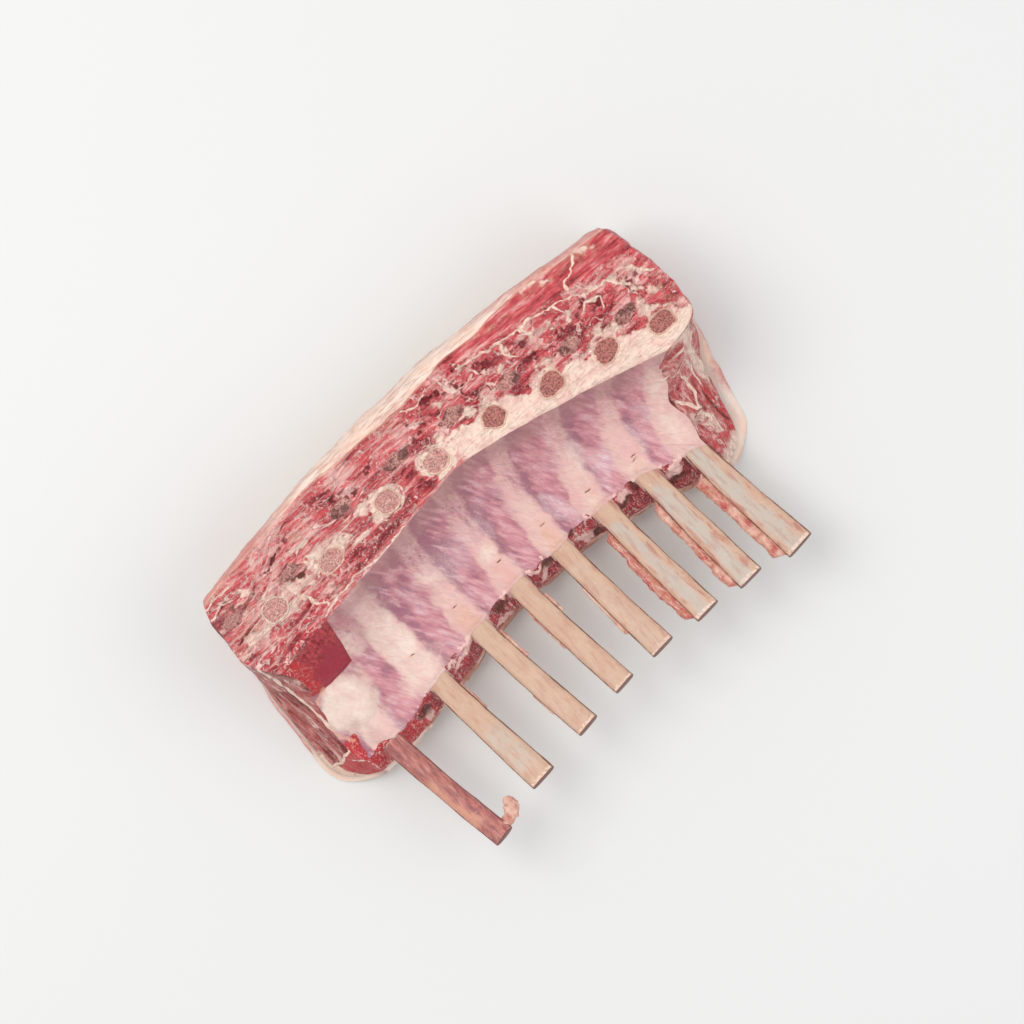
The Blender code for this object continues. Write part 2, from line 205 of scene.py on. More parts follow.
def strokes(x, y, lines, width):
    """1 on any of some bent lines, with corners in millimetres, and falling to 0 beside them."""
    x, y, width = 1000.0 * x, 1000.0 * y, 1000.0 * width
    best = np.full(np.broadcast(x, y).shape, 1000.0)
    for line in lines:
        for (ax, ay), (bx, by) in zip(line, line[1:], strict=False):
            along = ((x - ax) * (bx - ax) + (y - ay) * (by - ay)) / ((bx - ax) ** 2 + (by - ay) ** 2)
            along = np.clip(along, 0.0, 1.0)
            best = np.minimum(best, np.hypot(x - ax - along * (bx - ax), y - ay - along * (by - ay)))
    return np.exp(-((best / width) ** 2))


# ---------------------------------------------------------------------------- lines and heights of the rack


def ridge_y(x):
    """Where the sawn face meets the inner side of the ribs, a little wavy."""
    loin = 0.0070 * np.clip((RIDGE_PEAK[0] - x) / 0.066, 0.0, None) ** 1.1
    shoulder = 0.0195 * np.clip((x - RIDGE_PEAK[0]) / 0.077, 0.0, None) ** 1.27
    return RIDGE_PEAK[1] - loin - shoulder + 0.0005 * noise(x, 0.0, 0.0, 0.009, 3, 2)


def back_y(x):
    """The outline at the back, which bows out in the middle."""
    return BACK_PEAK - BACK_DROP * np.abs(x / HALF_LENGTH) ** 1.8 + 0.0006 * noise(x, 0.0, 0.0, 0.016, 4, 2)


def front_y(x):
    """The lower edge of the meat between the ribs."""
    shoulder = FRONT_DROP_SHOULDER * np.clip(x / 0.077, 0.0, 1.05) ** 1.7
    loin = FRONT_DROP_LOIN * np.clip(-x / 0.065, 0.0, 1.0) ** 1.7
    return FRONT_MIDDLE - shoulder - loin + 0.0012 * noise(x, 0.0, 0.0, 0.010, 5, 2)


def lip_y(x):
    """The upper edge of the cut between the ribs."""
    wave = 0.0010 * noise(x, 0.0, 0.0, 0.006, 6, 2)
    return front_y(x) + 0.0080 + 0.0040 * smoothstep((x - 0.015) / 0.030) + wave


def face_z(y):
    """Height of the sawn face."""
    return FACE_HEIGHT - FACE_SLOPE * (y - FACE_Y)


def fat_back(x):
    """Thickness of the fat behind the sawn face."""
    wave = 1.0 + 0.22 * noise(x, 0.0, 0.0, 0.013, 7, 2)
    return (FAT_BACK_ENDS + FAT_BACK_MIDDLE * np.exp(-(((x - 0.005) / 0.045) ** 2))) * wave


def crest_z(x, y):
    """Height of the inner side along the top of a rib, from the ridge out to the rib tips."""
    run = np.clip(ridge_y(x) - y, 0.0, None)
    top = face_z(ridge_y(x))
    wall = (top - INNER_FLOOR) * (1.0 - np.exp(-run / WALL_RUN))
    rise = np.clip(run - RISE_START, 0.0, None) ** 2 / (2.0 * RIB_RADIUS)
    return top - wall + rise


def crest_slope(x, y):
    """How fast crest_z rises towards +Y."""
    return (crest_z(x, y + 0.0004) - crest_z(x, y - 0.0004)) / 0.0008


def rib_x(rib, y):
    """The middle line of a rib in plan."""
    root, tip_lean, head_lean, head_y, _, bend, tip_y = rib
    out = np.clip((ROOT_Y - y) / (ROOT_Y - tip_y), 0.0, 1.0)
    back = np.clip((y - ROOT_Y) / (head_y - ROOT_Y), 0.0, 1.0)
    return root + tip_lean * out**1.3 + head_lean * back**bend


def rib_width(rib, y):
    """A rib's width, which grows from the edge of the meat to the tip."""
    out = np.clip((ROOT_Y - y) / (ROOT_Y - rib[6]), 0.0, 1.0)
    return ROOT_WIDTH + (rib[4] - ROOT_WIDTH) * out**0.8


def rib_distance(x, y):
    """Distance in plan to the nearest rib's middle line."""
    nearest = np.full(np.broadcast(x, y).shape, 1.0)
    for rib in RIBS:
        nearest = np.minimum(nearest, np.abs(x - rib_x(rib, y)))
    return nearest


def diaphragm(x, y):
    """How far, in metres, a point is inside the scrap of diaphragm on the loin side."""
    right = -0.0660 + 0.27 * (y - 0.010) - x
    below = y - 0.0097 - 0.0010 * ((x + 0.075) / 0.010) ** 2
    wave = 0.0004 * noise(x, y, 0.0, 0.004, 8, 2)
    return np.minimum(right, below) + wave


def inner_z(x, y):
    """Height of the inner side: rib ridges, the lower muscle between them, and what lies on it."""
    low = smoothstep((rib_distance(x, y) - 0.2 * RIDGE_HALF_WIDTH) / (1.3 * RIDGE_HALF_WIDTH))
    run = ridge_y(x) - y
    z = crest_z(x, y) - RIDGE_RELIEF * smoothstep(run / 0.020) * low
    bulge = np.clip(1.0 - ((x + 0.0765) / 0.0115) ** 2 - ((y - 0.001) / 0.0105) ** 2, 0.0, 1.0)
    z = z + 0.0020 * smoothstep(bulge * 1.2)
    z = z + 0.0024 * smoothstep((diaphragm(x, y) + 0.0002) / 0.0022) * smoothstep(run / 0.004)
    thin = smoothstep((lip_y(x) + 0.0022 - y) / 0.0022) * (1.0 - low)
    return z - 0.0008 * thin - 0.0008 * np.exp(-run / 0.0007)


def end_x(side, y, z):
    """The two cut ends. Both slope outwards towards the board, more so below the ribs than at the back."""
    if side < 0:
        lean = 0.05 + 0.52 * (1.0 - smoothstep((y - 0.002) / 0.036))
        foot = LEFT_END + 0.15 * np.clip(y, 0.0, None)
        front = 0.013 * np.clip((-0.008 - y) / 0.018, 0.0, 1.0) ** 3
        back = 0.002 * np.clip((y - 0.052) / 0.008, 0.0, 1.5) ** 2
        return foot + lean * z + front + back + 0.0007 * noise(0.0, y, z, 0.009, 9, 2)
    lean = 0.02 + 0.78 * (1.0 - smoothstep((y + 0.002) / 0.020))
    foot = RIGHT_END - 0.30 * np.clip(0.010 - y, 0.0, None)
    bulge = RIGHT_BULGE * np.exp(-(((y - 0.031) / 0.010) ** 2))
    front = 0.010 * np.clip((-0.018 - y) / 0.015, 0.0, 1.1) ** 2.5
    back = 0.005 * np.clip((y - 0.050) / 0.010, 0.0, 1.5) ** 2
    return foot + bulge - lean * z - front - back + 0.0009 * noise(0.0, y, z, 0.008, 10, 2)


def settle(share, section):
    """x, y and z on a section's surface at each share of the way between the cut ends.

    The ends slope, so x depends on the height and is found in a few rounds.
    """
    x = LEFT_END + share * (RIGHT_END - LEFT_END)
    for _ in range(7):
        y, z = section(x)
        x = (1.0 - share) * end_x(-1, y, z) + share * end_x(1, y, z)
    y, z = section(x)
    return x, y, z


# ------------------------------------------------------------------------------------- sections of the rack


def along_line(points, share):
    """Points at shares of a smooth line through (y, z) pairs that may each be arrays."""
    share = share * (len(points) - 1)
    y, z = 0.0, 0.0
    weights = []
    for i in range(len(points)):
        t = np.abs(share - i)
        near = np.where(t < 1, (4 - 6 * t**2 + 3 * t**3) / 6, np.where(t < 2, (2 - t) ** 3 / 6, 0.0))
        weights.append(near)
    first = (np.clip(1 - share, 0, None) ** 3) / 6
    last = (np.clip(share - (len(points) - 2), 0, None) ** 3) / 6
    weights[0] = weights[0] + 2 * first
    weights[1] = weights[1] - first
    weights[-1] = weights[-1] + 2 * last
    weights[-2] = weights[-2] - last
    for (py, pz), near in zip(points, weights, strict=True):
        y = y + py * near
        z = z + pz * near
    return y, z


def fat_line(x, share):
    """The outer side of the fat, from the front edge under the rack and up to the sawn face."""
    front, back = front_y(x), back_y(x)
    strip = fat_back(x)
    top = face_z(back - strip)
    flat = 0.0 * x
    line = [
        (front + 0.0012, flat + 0.0090),
        (front + 0.0002, flat + 0.0074),
        (front - 0.0004, flat + 0.0046),
        (front + 0.0018, flat + 0.0014),
        (front + 0.0090, flat + 0.0001),
        (0.78 * front + 0.22 * back, flat),
        (0.55 * front + 0.45 * back, flat),
        (0.35 * front + 0.65 * back, flat),
        (back - 0.0150, flat + 0.0003),
        (back - 0.0066, 0.06 * top),
        (back - 0.0010, 0.24 * top),
        (back + 0.0004, 0.50 * top),
        (back - 0.0004, 0.74 * top),
        (back - 0.28 * strip, 0.92 * top),
        (back - 0.70 * strip, 0.992 * top + 0.0003),
        (back - strip, top),
    ]
    return along_line(line, share)


def fat_seam(x, share):
    """Where the fat meets the meat, from the front edge under the rack and up to the sawn face."""
    front, back = front_y(x), back_y(x)
    strip = fat_back(x)
    top = face_z(back - strip)
    under = FAT_UNDER + FAT_SHOULDER_EXTRA * smoothstep(x / 0.08)
    line = [
        (front + 0.0012, 0.0 * x + 0.0090),
        (front + 0.0036, 0.0 * x + 0.0068),
        (front + 0.0080, 0.0 * x + 0.0050),
        (front + 0.0150, under),
        (0.65 * front + 0.35 * back, under),
        (0.37 * front + 0.63 * back, under),
        (back - 0.0160, under + 0.0010),
        (back - 0.0100, 0.22 * top),
        (back - 0.8 * strip - 0.0030, 0.38 * top),
        (back - strip - 0.0014, 0.58 * top),
        (back - strip - 0.0006, 0.82 * top),
        (back - strip, top),
    ]
    return along_line(line, share)


def inner_line(x, share):
    """The cut between the ribs and then the inner side, up to the ridge."""
    front, lip, ridge = front_y(x), lip_y(x), ridge_y(x)
    cut = np.clip(share / LIP_SHARE, 0.0, 1.0)
    past = np.clip((share - LIP_SHARE) / (1.0 - LIP_SHARE), 0.0, 1.0)
    y = front + 0.0012 + cut * (lip - front - 0.0012) + past * (ridge - lip)
    lip_z = inner_z(x, lip)
    z = np.where(cut < 1.0, 0.0090 + (lip_z - 0.0090) * cut**0.72, inner_z(x, y))
    return y, z


def face_line(x, share):
    """The sawn face, from the ridge to its back edge."""
    ridge = ridge_y(x)
    edge = back_y(x) - fat_back(x)
    y = ridge + share * (edge - ridge)
    return y, face_z(y) - 0.0008 * np.exp(-(y - ridge) / 0.0007)


# --------------------------------------------------------------------------------------------------- meshes


def shares(columns, rows):
    """Shares from 0 to 1 along and across a grid."""
    return np.meshgrid(np.linspace(0, 1, columns), np.linspace(0, 1, rows), indexing="ij")


def xyz(points):
    """The x, y and z of a grid of points."""
    return points[:, :, 0], points[:, :, 1], points[:, :, 2]


def unit(vectors, least=0.0):
    """The same directions with a length of 1."""
    return vectors / np.maximum(np.linalg.norm(vectors, axis=-1, keepdims=True), least)


def normals_of(points):
    """Unit normals of a grid of points, upwards where the grid's rows and columns run along +X and +Y."""
    along = np.gradient(points, axis=0)
    across = np.gradient(points, axis=1)
    return unit(np.cross(along, across), 1e-12)


def edge_fade(points, margin):
    """0 on the border of a grid of points, rising to 1 at a margin's distance inside it."""
    steps = np.linalg.norm(np.diff(points, axis=0), axis=2)
    sideways = np.linalg.norm(np.diff(points, axis=1), axis=2)
    u = np.concatenate([np.zeros((1, points.shape[1])), np.cumsum(steps, axis=0)])
    v = np.concatenate([np.zeros((points.shape[0], 1)), np.cumsum(sideways, axis=1)], axis=1)
    nearest = np.minimum(np.minimum(u, u[-1:] - u), np.minimum(v, v[:, -1:] - v))
    return smoothstep(nearest / margin)


def raised(points, relief, margin, side=0):
    """Points moved along their normals, less near the border. A side turns all normals to -X or +X."""
    normal = normals_of(points)
    if side:
        normal *= np.sign(side * normal[:, :, :1])
    return points + normal * (relief * edge_fade(points, margin))[:, :, None]


def finish_piece(made, material_name, replaced=()):
    """Gives a piece its material and its place in the frame."""
    made.data.materials.append(bpy.data.materials[material_name])
    made.data.shade_smooth()
    bpy.context.scene.collection.objects.link(made)
    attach(made, "root")
    if replaced:
        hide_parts(*replaced)
    return made


def mesh_of(name, points, faces, masks):
    """An object with those points and faces, and a named value from 0 to 1 for each point in each mask."""
    mesh = bpy.data.meshes.new(name)
    mesh.from_pydata(points.reshape(-1, 3).tolist(), [], faces)
    for mask, values in masks.items():
        stored = mesh.attributes.new(mask, "FLOAT", "POINT")
        values = np.clip(np.broadcast_to(values, points.shape[:2]), 0.0, 1.0)
        stored.data.foreach_set("value", values.astype(np.float32).ravel())
    mesh.update()
    return bpy.data.objects.new(name, mesh)


def grid_faces(columns, rows, flip=False, closed=False):
    """The quads of a grid of points. Closed joins the last row to the first."""
    i, j = np.meshgrid(np.arange(columns - 1), np.arange(rows if closed else rows - 1), indexing="ij")
    after = (j + 1) % rows
    quads = np.stack([i * rows + j, (i + 1) * rows + j, (i + 1) * rows + after, i * rows + after], axis=2)
    quads = quads.reshape(-1, 4)
    return (quads[:, ::-1] if flip else quads).tolist()


# ------------------------------------------------------------------------------------------ shader building


class Wires:
    """Adds nodes to a node tree and links them."""

    def __init__(self, tree):
        self.tree = tree

    def add(self, kind, values=None, **settings):
        """A node with its settings, and its inputs set to values or linked to sockets."""
        made = self.tree.nodes.new(kind)
        for setting, value in settings.items():
            setattr(made, setting, value)
        for key, value in (values or {}).items():
            self.feed(made.inputs[key], value)
        return made

    def feed(self, socket, value):
        """Links a socket to another, or sets its value."""
        if isinstance(value, bpy.types.NodeSocket):
            self.tree.links.new(value, socket)
        elif isinstance(value, tuple) and len(value) == 3 and socket.type == "RGBA":
            socket.default_value = (*value, 1.0)
        else:
            socket.default_value = value

    def calc(self, operation, a, b=None):
        """The result of a Math node."""
        values = {0: a} if b is None else {0: a, 1: b}
        return self.add("ShaderNodeMath", values, operation=operation).outputs[0]

    def times(self, a, b):
        """The product of two values."""
        return self.calc("MULTIPLY", a, b)

    def plus(self, a, b):
        """The sum of two values."""
        return self.calc("ADD", a, b)

    def minus(self, a, b):
        """The first value less the second."""
        return self.calc("SUBTRACT", a, b)

    def step(self, value, low, high):
        """Rises smoothly from 0 at low to 1 at high."""
        values = {"Value": value, "From Min": low, "From Max": high}
        return self.add("ShaderNodeMapRange", values, interpolation_type="SMOOTHSTEP").outputs["Result"]

    def mix(self, share, a, b):
        """The blend of two colours."""
        made = self.add("ShaderNodeMix", {0: share}, data_type="RGBA")
        self.feed(made.inputs[6], a)
        self.feed(made.inputs[7], b)
        return made.outputs[2]

    def noise(self, vector, scale, detail=2.0, rough=0.5, warp=0.0):
        """A noise texture's value."""
        values = {
            "Vector": vector, "Scale": scale, "Detail": detail, "Roughness": rough, "Distortion": warp
        }
        return self.add("ShaderNodeTexNoise", values).outputs["Fac"]

    def turned(self, vector, angle):
        """Coordinates turned about Z by an angle in degrees."""
        rotation = (0.0, 0.0, math.radians(angle))
        return self.add("ShaderNodeMapping", {"Vector": vector, "Rotation": rotation}).outputs[0]

    def stretched(self, vector, scale):
        """Coordinates times a scale for each axis."""
        return self.add("ShaderNodeMapping", {"Vector": vector, "Scale": scale}).outputs[0]

    def mask(self, name):
        """A value that the piece's mesh holds for each point."""
        return self.add(
            "ShaderNodeAttribute", attribute_name=name, attribute_type="GEOMETRY"
        ).outputs["Fac"]


def effect(name, inputs, outputs):
    """A new shader node group and its wires. Inputs are (name, default), outputs are names."""
    tree = bpy.data.node_groups.new(name, "ShaderNodeTree")
    for label, default in inputs:
        kind = "NodeSocketVector" if default is None else "NodeSocketFloat"
        socket = tree.interface.new_socket(name=label, in_out="INPUT", socket_type=kind)
        if default is not None:
            socket.default_value = default
    for label in outputs:
        tree.interface.new_socket(name=label, in_out="OUTPUT", socket_type="NodeSocketFloat")
    wires = Wires(tree)
    return wires, wires.add("NodeGroupInput").outputs, wires.add("NodeGroupOutput").inputs


def build_fibre_effect():
    """Muscle fibres along the X of the coordinates given: light and dark, thin pale sinews, and height."""
    inputs = (("Vector", None), ("Scale", 1.0), ("Sinew", 0.5))
    wires, given, out = effect("muscle fibre", inputs, ("Shade", "Sinew", "Height"))
    values = {0: given["Vector"], "Scale": given["Scale"]}
    bundle = wires.add("ShaderNodeVectorMath", values, operation="SCALE").outputs[0]
    wide = wires.stretched(bundle, (80.0, 700.0, 480.0))
    fine = wires.stretched(bundle, (260.0, 1900.0, 1400.0))
    broad = wires.noise(wide, 1.0, 3.0, 0.6, 0.25)
    thin = wires.noise(fine, 1.0, 2.0, 0.6, 0.3)
    shade = wires.plus(wires.times(broad, 0.65), wires.times(thin, 0.35))
    veins = wires.stretched(bundle, (60.0, 520.0, 360.0))
    vein = wires.noise(veins, 1.0, 3.0, 0.55, 0.3)
    crest = wires.calc("ABSOLUTE", wires.minus(vein, 0.5))
    reach = wires.times(given["Sinew"], 0.045)
    sinew = wires.minus(1.0, wires.step(crest, 0.0, reach))
    wires.feed(out["Shade"], wires.step(shade, 0.3, 0.7))
    wires.feed(out["Sinew"], sinew)
    wires.feed(out["Height"], wires.plus(shade, wires.times(sinew, 0.15)))


def build_marbling_effect():
    """Winding white fat between lumps of cut muscle, and dark wet hollows beside it."""
    inputs = (("Vector", None), ("Scale", 300.0), ("Amount", 0.5))
    wires, given, out = effect("marbling", inputs, ("Fat", "Hollow", "Height"))
    a = wires.noise(given["Vector"], given["Scale"], 3.0, 0.55, 1.6)
    doubled = wires.times(given["Scale"], 2.3)
    b = wires.noise(given["Vector"], doubled, 2.0, 0.5, 1.0)
    crest = wires.calc("ABSOLUTE", wires.minus(a, 0.5))
    reach = wires.plus(wires.times(given["Amount"], 0.09), 0.004)
    line = wires.minus(1.0, wires.step(crest, wires.times(reach, 0.35), reach))
    broken = wires.times(wires.step(b, 0.40, 0.58), wires.step(given["Amount"], 0.03, 0.25))
    wires.feed(out["Fat"], wires.times(line, broken))
    wires.feed(out["Hollow"], wires.step(a, 0.60, 0.72))
    wires.feed(out["Height"], wires.plus(wires.times(line, 0.6), b))


def build_ragged_effect():
    """Turns a soft mask into one with a ragged edge of its own width."""
    inputs = (("Mask", 0.0), ("Vector", None), ("Scale", 900.0), ("Ragged", 0.5), ("Width", 0.12))
    wires, given, out = effect("ragged edge", inputs, ("Mask",))
    rough = wires.noise(given["Vector"], given["Scale"], 3.0, 0.6, 0.4)
    moved = wires.times(wires.minus(rough, 0.5), given["Ragged"])
    value = wires.plus(given["Mask"], moved)
    low = wires.minus(0.5, given["Width"])
    high = wires.plus(0.5, given["Width"])
    wires.feed(out["Mask"], wires.step(value, low, high))


def build_tissue_effect():
    """Soft lumps and stains of fat or membrane, with fine pores."""
    inputs = (("Vector", None), ("Scale", 250.0))
    wires, given, out = effect("soft tissue", inputs, ("Stain", "Fleck", "Height"))
    stain = wires.noise(given["Vector"], given["Scale"], 4.0, 0.6, 0.5)
    fine = wires.noise(given["Vector"], wires.times(given["Scale"], 6.0), 3.0, 0.6, 0.2)
    wires.feed(out["Stain"], wires.step(stain, 0.38, 0.68))
    wires.feed(out["Fleck"], wires.step(fine, 0.60, 0.74))
    wires.feed(out["Height"], wires.plus(stain, wires.times(fine, 0.5)))


def build_spongy_effect():
    """The sponge of sawn bone: small dark pores in a paler web."""
    inputs = (("Vector", None), ("Scale", 1500.0))
    wires, given, out = effect("sawn sponge", inputs, ("Pore", "Shade", "Height"))
    cells = wires.add(
        "ShaderNodeTexVoronoi", {"Vector": given["Vector"], "Scale": given["Scale"], "Randomness": 1.0}
    )
    soft = wires.noise(given["Vector"], wires.times(given["Scale"], 0.3), 3.0, 0.6)
    pore = wires.minus(1.0, wires.step(cells.outputs["Distance"], 0.15, 0.55))
    wires.feed(out["Pore"], wires.times(pore, wires.step(soft, 0.35, 0.6)))
    wires.feed(out["Shade"], wires.step(soft, 0.3, 0.7))
    wires.feed(out["Height"], wires.minus(soft, wires.times(pore, 0.5)))


EFFECTS = (
    build_fibre_effect, build_marbling_effect, build_ragged_effect, build_tissue_effect, build_spongy_effect,
)


def use(wires, name, values):
    """A node group placed in a material with its own values."""
    made = wires.add("ShaderNodeGroup", node_tree=bpy.data.node_groups[name])
    for key, value in values.items():
        wires.feed(made.inputs[key], value)
    return made.outputs


def new_material(name):
    """An empty material with a Principled shader, its wires and the object's own coordinates."""
    made = bpy.data.materials.new(name)
    made.use_nodes = True
    made.node_tree.nodes.clear()
    wires = Wires(made.node_tree)
    shader = wires.add("ShaderNodeBsdfPrincipled")
    wires.add("ShaderNodeOutputMaterial", {"Surface": shader.outputs[0]})
    place = wires.add("ShaderNodeTexCoord").outputs["Object"]
    return wires, shader, place


def finish_material(wires, shader, colour, rough, height, depth, coat=0.0, subsurface=0.0):
    """Feeds the shader. The depth of the bump is in metres."""
    wires.feed(shader.inputs["Base Color"], colour)
    wires.feed(shader.inputs["Roughness"], rough)
    bump = wires.add("ShaderNodeBump", {"Height": height, "Distance": depth, "Strength": 1.0})
    wires.feed(shader.inputs["Normal"], bump.outputs[0])
    shader.inputs["Coat Weight"].default_value = coat
    shader.inputs["Coat Roughness"].default_value = 0.12
    shader.inputs["Specular IOR Level"].default_value = 0.28
    shader.inputs["Subsurface Weight"].default_value = subsurface
    shader.inputs["Subsurface Radius"].default_value = (0.0022, 0.0008, 0.0006)
    shader.inputs["Subsurface Scale"].default_value = 1.0


# --------------------------------------------------------------------------------------------- the settings


def tint(name, description, value):
    """A colour setting."""
    return FloatVectorProperty(
        name=name, description=description, default=value, subtype="COLOR", size=3, min=0.0, max=1.0
    )


def length(name, description, value):
    """A length setting in metres."""
    return FloatProperty(
        name=name, description=description, default=value, min=0.0, unit="LENGTH", precision=5
    )


class RackSizes(PropertyGroup):
    """Sizes of the details."""

    columns: IntProperty(name="Columns", description="Points along the inner side", default=480)
    face_columns: IntProperty(name="Face columns", description="Points along the sawn face", default=640)
    face_rows: IntProperty(name="Face rows", description="Points across the sawn face", default=145)
    inner_rows: IntProperty(name="Inner rows", description="Points across the inner side", default=190)
    fat_columns: IntProperty(name="Fat columns", description="Points along the fat cap", default=260)
    fat_rows: IntProperty(name="Fat rows", description="Points round the fat cap", default=170)
    end_rows: IntProperty(name="End rows", description="Points down each cut end", default=84)
    grain: length("Grain relief", "Height of the muscle grain on the sawn face", 0.00028)
    lumps: length("Lump relief", "Height of the lumps of cut meat", 0.0011)
    cut_relief: length("Cut relief", "Height of the torn meat between the ribs", 0.0007)
    end_relief: length("End relief", "Height of the muscle bundles on the cut ends", 0.0006)
    bone_relief: length("Bone relief", "Unevenness of the scraped bones", 0.00022)
    floor_size: length("Floor size", "Half the width of the floor", 1.6)


class RackColours(PropertyGroup):
    """Colours of the tissues."""

    lean: tint("Lean meat", "Sawn and cut muscle", (0.64, 0.075, 0.090))
    # Also used as painted shade in the crevices between lumps and the valleys between fibre bundles of the
    # sawn face.
    lean_dark_and_shade: tint("Dark meat", "Wet hollows and deep muscle", (0.17, 0.006, 0.014))
    lean_bright: tint("Bright meat", "Freshly cut muscle", (0.56, 0.028, 0.034))
    lean_brown: tint("Aired meat", "Cut ends that have browned a little", (0.38, 0.085, 0.062))
    fat: tint("Fat", "Firm cream fat", (0.93, 0.69, 0.57))
    fat_skin: tint("Fat skin", "Paler cream fat under its skin", (0.90, 0.74, 0.65))
    fat_warm: tint("Warm fat", "Peach tinted fat at the edges", (0.80, 0.43, 0.28))
    fringe: tint("Fringe", "Thin dried meat along the lower edge", (0.40, 0.14, 0.10))
    sinew: tint("Sinew", "Silverskin and connective tissue", (0.92, 0.60, 0.54))
    membrane: tint("Membrane", "Pale lining over the ribs", (0.80, 0.54, 0.48))
    pleura: tint("Rib muscle", "Muscle between the ribs under its lining", (0.66, 0.27, 0.32))
    # Painted light and shade: the shade mask picks the pink colour on the side of each gap that faces the
    # light, and the deep colour on the side turned from it.
    pleura_pink: tint("Pink rib muscle", "The rosier side of each gap between ribs", (0.78, 0.37, 0.40))
    pleura_dark_and_shade: tint("Deep rib muscle", "The darker side of each gap between ribs", (0.38, 0.155, 0.21))
    haze: tint("Haze", "Bluish sheen of the lining", (0.80, 0.64, 0.67))
    # Painted shade: darkens the steep wall just below the ridge, which turns from the light, and also tints a
    # few patches of greyish tissue.
    shadow: tint("Ridge tissue", "Greyish tissue under the ridge", (0.42, 0.22, 0.21))
    diaphragm: tint("Diaphragm", "Smooth dark muscle of the diaphragm", (0.38, 0.030, 0.055))
    bone: tint("Bone", "Scraped rib bone", (0.64, 0.43, 0.31))
    bone_pale: tint("Pale bone", "Bare bluish grey bone", (0.53, 0.50, 0.45))
    bone_stain: tint("Bone stain", "Reddish traces on the bones", (0.46, 0.17, 0.12))
    bruise: tint("Dark membrane", "Dark streaks of the lined first rib", (0.26, 0.07, 0.08))
    bruise_red: tint("Red membrane", "Red lining of the first rib", (0.56, 0.18, 0.15))
    marrow: tint("Marrow", "Sponge of the sawn bones", (0.62, 0.27, 0.24))
    marrow_dark: tint("Dark marrow", "Pores of the sawn bones", (0.09, 0.015, 0.015))
    # Dried dark rims, slits and bone edges, and also painted shade in the hollows of the cut between the
    # ribs.
    scorch: tint("Dried edge", "Dried brown rims and slits", (0.13, 0.034, 0.022))
    floor: tint("Floor", "The plain floor", (0.765, 0.765, 0.755))


def hues_of(context):
    """The colour settings as plain tuples."""
    colours = context.scene.rack_colours
    return SimpleNamespace(**{name: tuple(getattr(colours, name)) for name in RackColours.__annotations__})


# ---------------------------------------------------------------------------------------- tissues' surfaces


def layer(wires, place, colour, name, over, scale=900.0, ragged=0.5, width=0.12, strength=1.0):
    """Lays a colour over another where a mask of the mesh says, with a ragged edge. Returns both."""
    values = {"Mask": wires.mask(name), "Vector": place, "Scale": scale, "Ragged": ragged, "Width": width}
    mask = use(wires, "ragged edge", values)["Mask"]
    if strength < 1.0:
        mask = wires.times(mask, strength)
    return wires.mix(mask, colour, over), mask


def build_cut_meat(name, hues, angle, brown):
    """Sawn or cut muscle. The fibres run at that angle from X; brown mixes in the aired colour."""
    wires, shader, place = new_material(name)
    lean, dark, pale = hues.lean, hues.lean_dark_and_shade, hues.sinew
    grain = wires.turned(place, angle)
    fibre = use(wires, "muscle fibre", {"Vector": grain, "Scale": 1.0, "Sinew": 0.6})
    marble = use(wires, "marbling", {"Vector": place, "Scale": 260.0, "Amount": wires.mask("marble")})
    tissue = use(wires, "soft tissue", {"Vector": place, "Scale": 240.0})
    base = wires.mix(brown, lean, hues.lean_brown)
    tone = wires.plus(wires.mask("tone"), wires.times(wires.minus(fibre["Shade"], 0.5), 0.7))
    colour = wires.mix(wires.step(tone, 0.02, 0.55), wires.mix(0.88, base, dark), base)
    colour = wires.mix(wires.times(wires.step(tone, 0.48, 1.02), 0.74), colour, pale)
    colour, _ = layer(wires, place, colour, "bright", hues.lean_bright, 500.0, 0.5, 0.35, 0.85)
    colour, _ = layer(
        wires,
        place,
        colour,
        "brown",
        wires.mix(tissue["Stain"], hues.lean_brown, hues.fat_warm),
        420.0,
        0.9,
        0.3,
        0.8,
    )
    hollow = wires.times(marble["Hollow"], wires.step(wires.mask("marble"), 0.1, 0.6))
    colour = wires.mix(wires.times(hollow, 0.7), colour, dark)
    colour = wires.mix(wires.times(marble["Fat"], 0.85), colour, pale)
    thin = wires.times(fibre["Sinew"], wires.mask("stripe"))
    colour = wires.mix(wires.times(thin, 0.75), colour, pale)
    colour, lines = layer(wires, place, colour, "sinew", pale, 1500.0, 0.7, 0.22, 0.9)
    # The dark mask lays dark meat and blood, and on the sawn face painted shade in crevices and fibre
    # valleys.
    colour, _ = layer(wires, place, colour, "dark", dark, 900.0, 0.9, 0.3, 0.92)
    colour, _ = layer(wires, place, colour, "scorch", hues.scorch, 1500.0, 1.1, 0.25, 0.92)
    firm = wires.mix(
        wires.step(tissue["Stain"], 0.25, 0.75),
        hues.fat,
        wires.mix(0.42, hues.fat, wires.mix(0.35, pale, lean)),
    )
    colour, fat = layer(wires, place, colour, "fat", firm, 620.0, 1.3, 0.25)
    colour, _ = layer(wires, place, colour, "seam", hues.fat, 1300.0, 0.5, 0.2)
    colour, _ = layer(wires, place, colour, "rim", hues.fat_warm, 700.0, 0.5, 0.3, 0.7)
    height = wires.plus(fibre["Height"], wires.times(marble["Height"], 0.4))
    height = wires.plus(height, wires.times(lines, 0.5))
    height = wires.plus(height, wires.times(tissue["Height"], wires.times(fat, 0.5)))
    rough = wires.plus(0.34, wires.times(fibre["Shade"], 0.16))
    rough = wires.plus(rough, wires.times(fat, 0.08))
    finish_material(wires, shader, colour, rough, height, 0.0008, 0.10, 0.02)


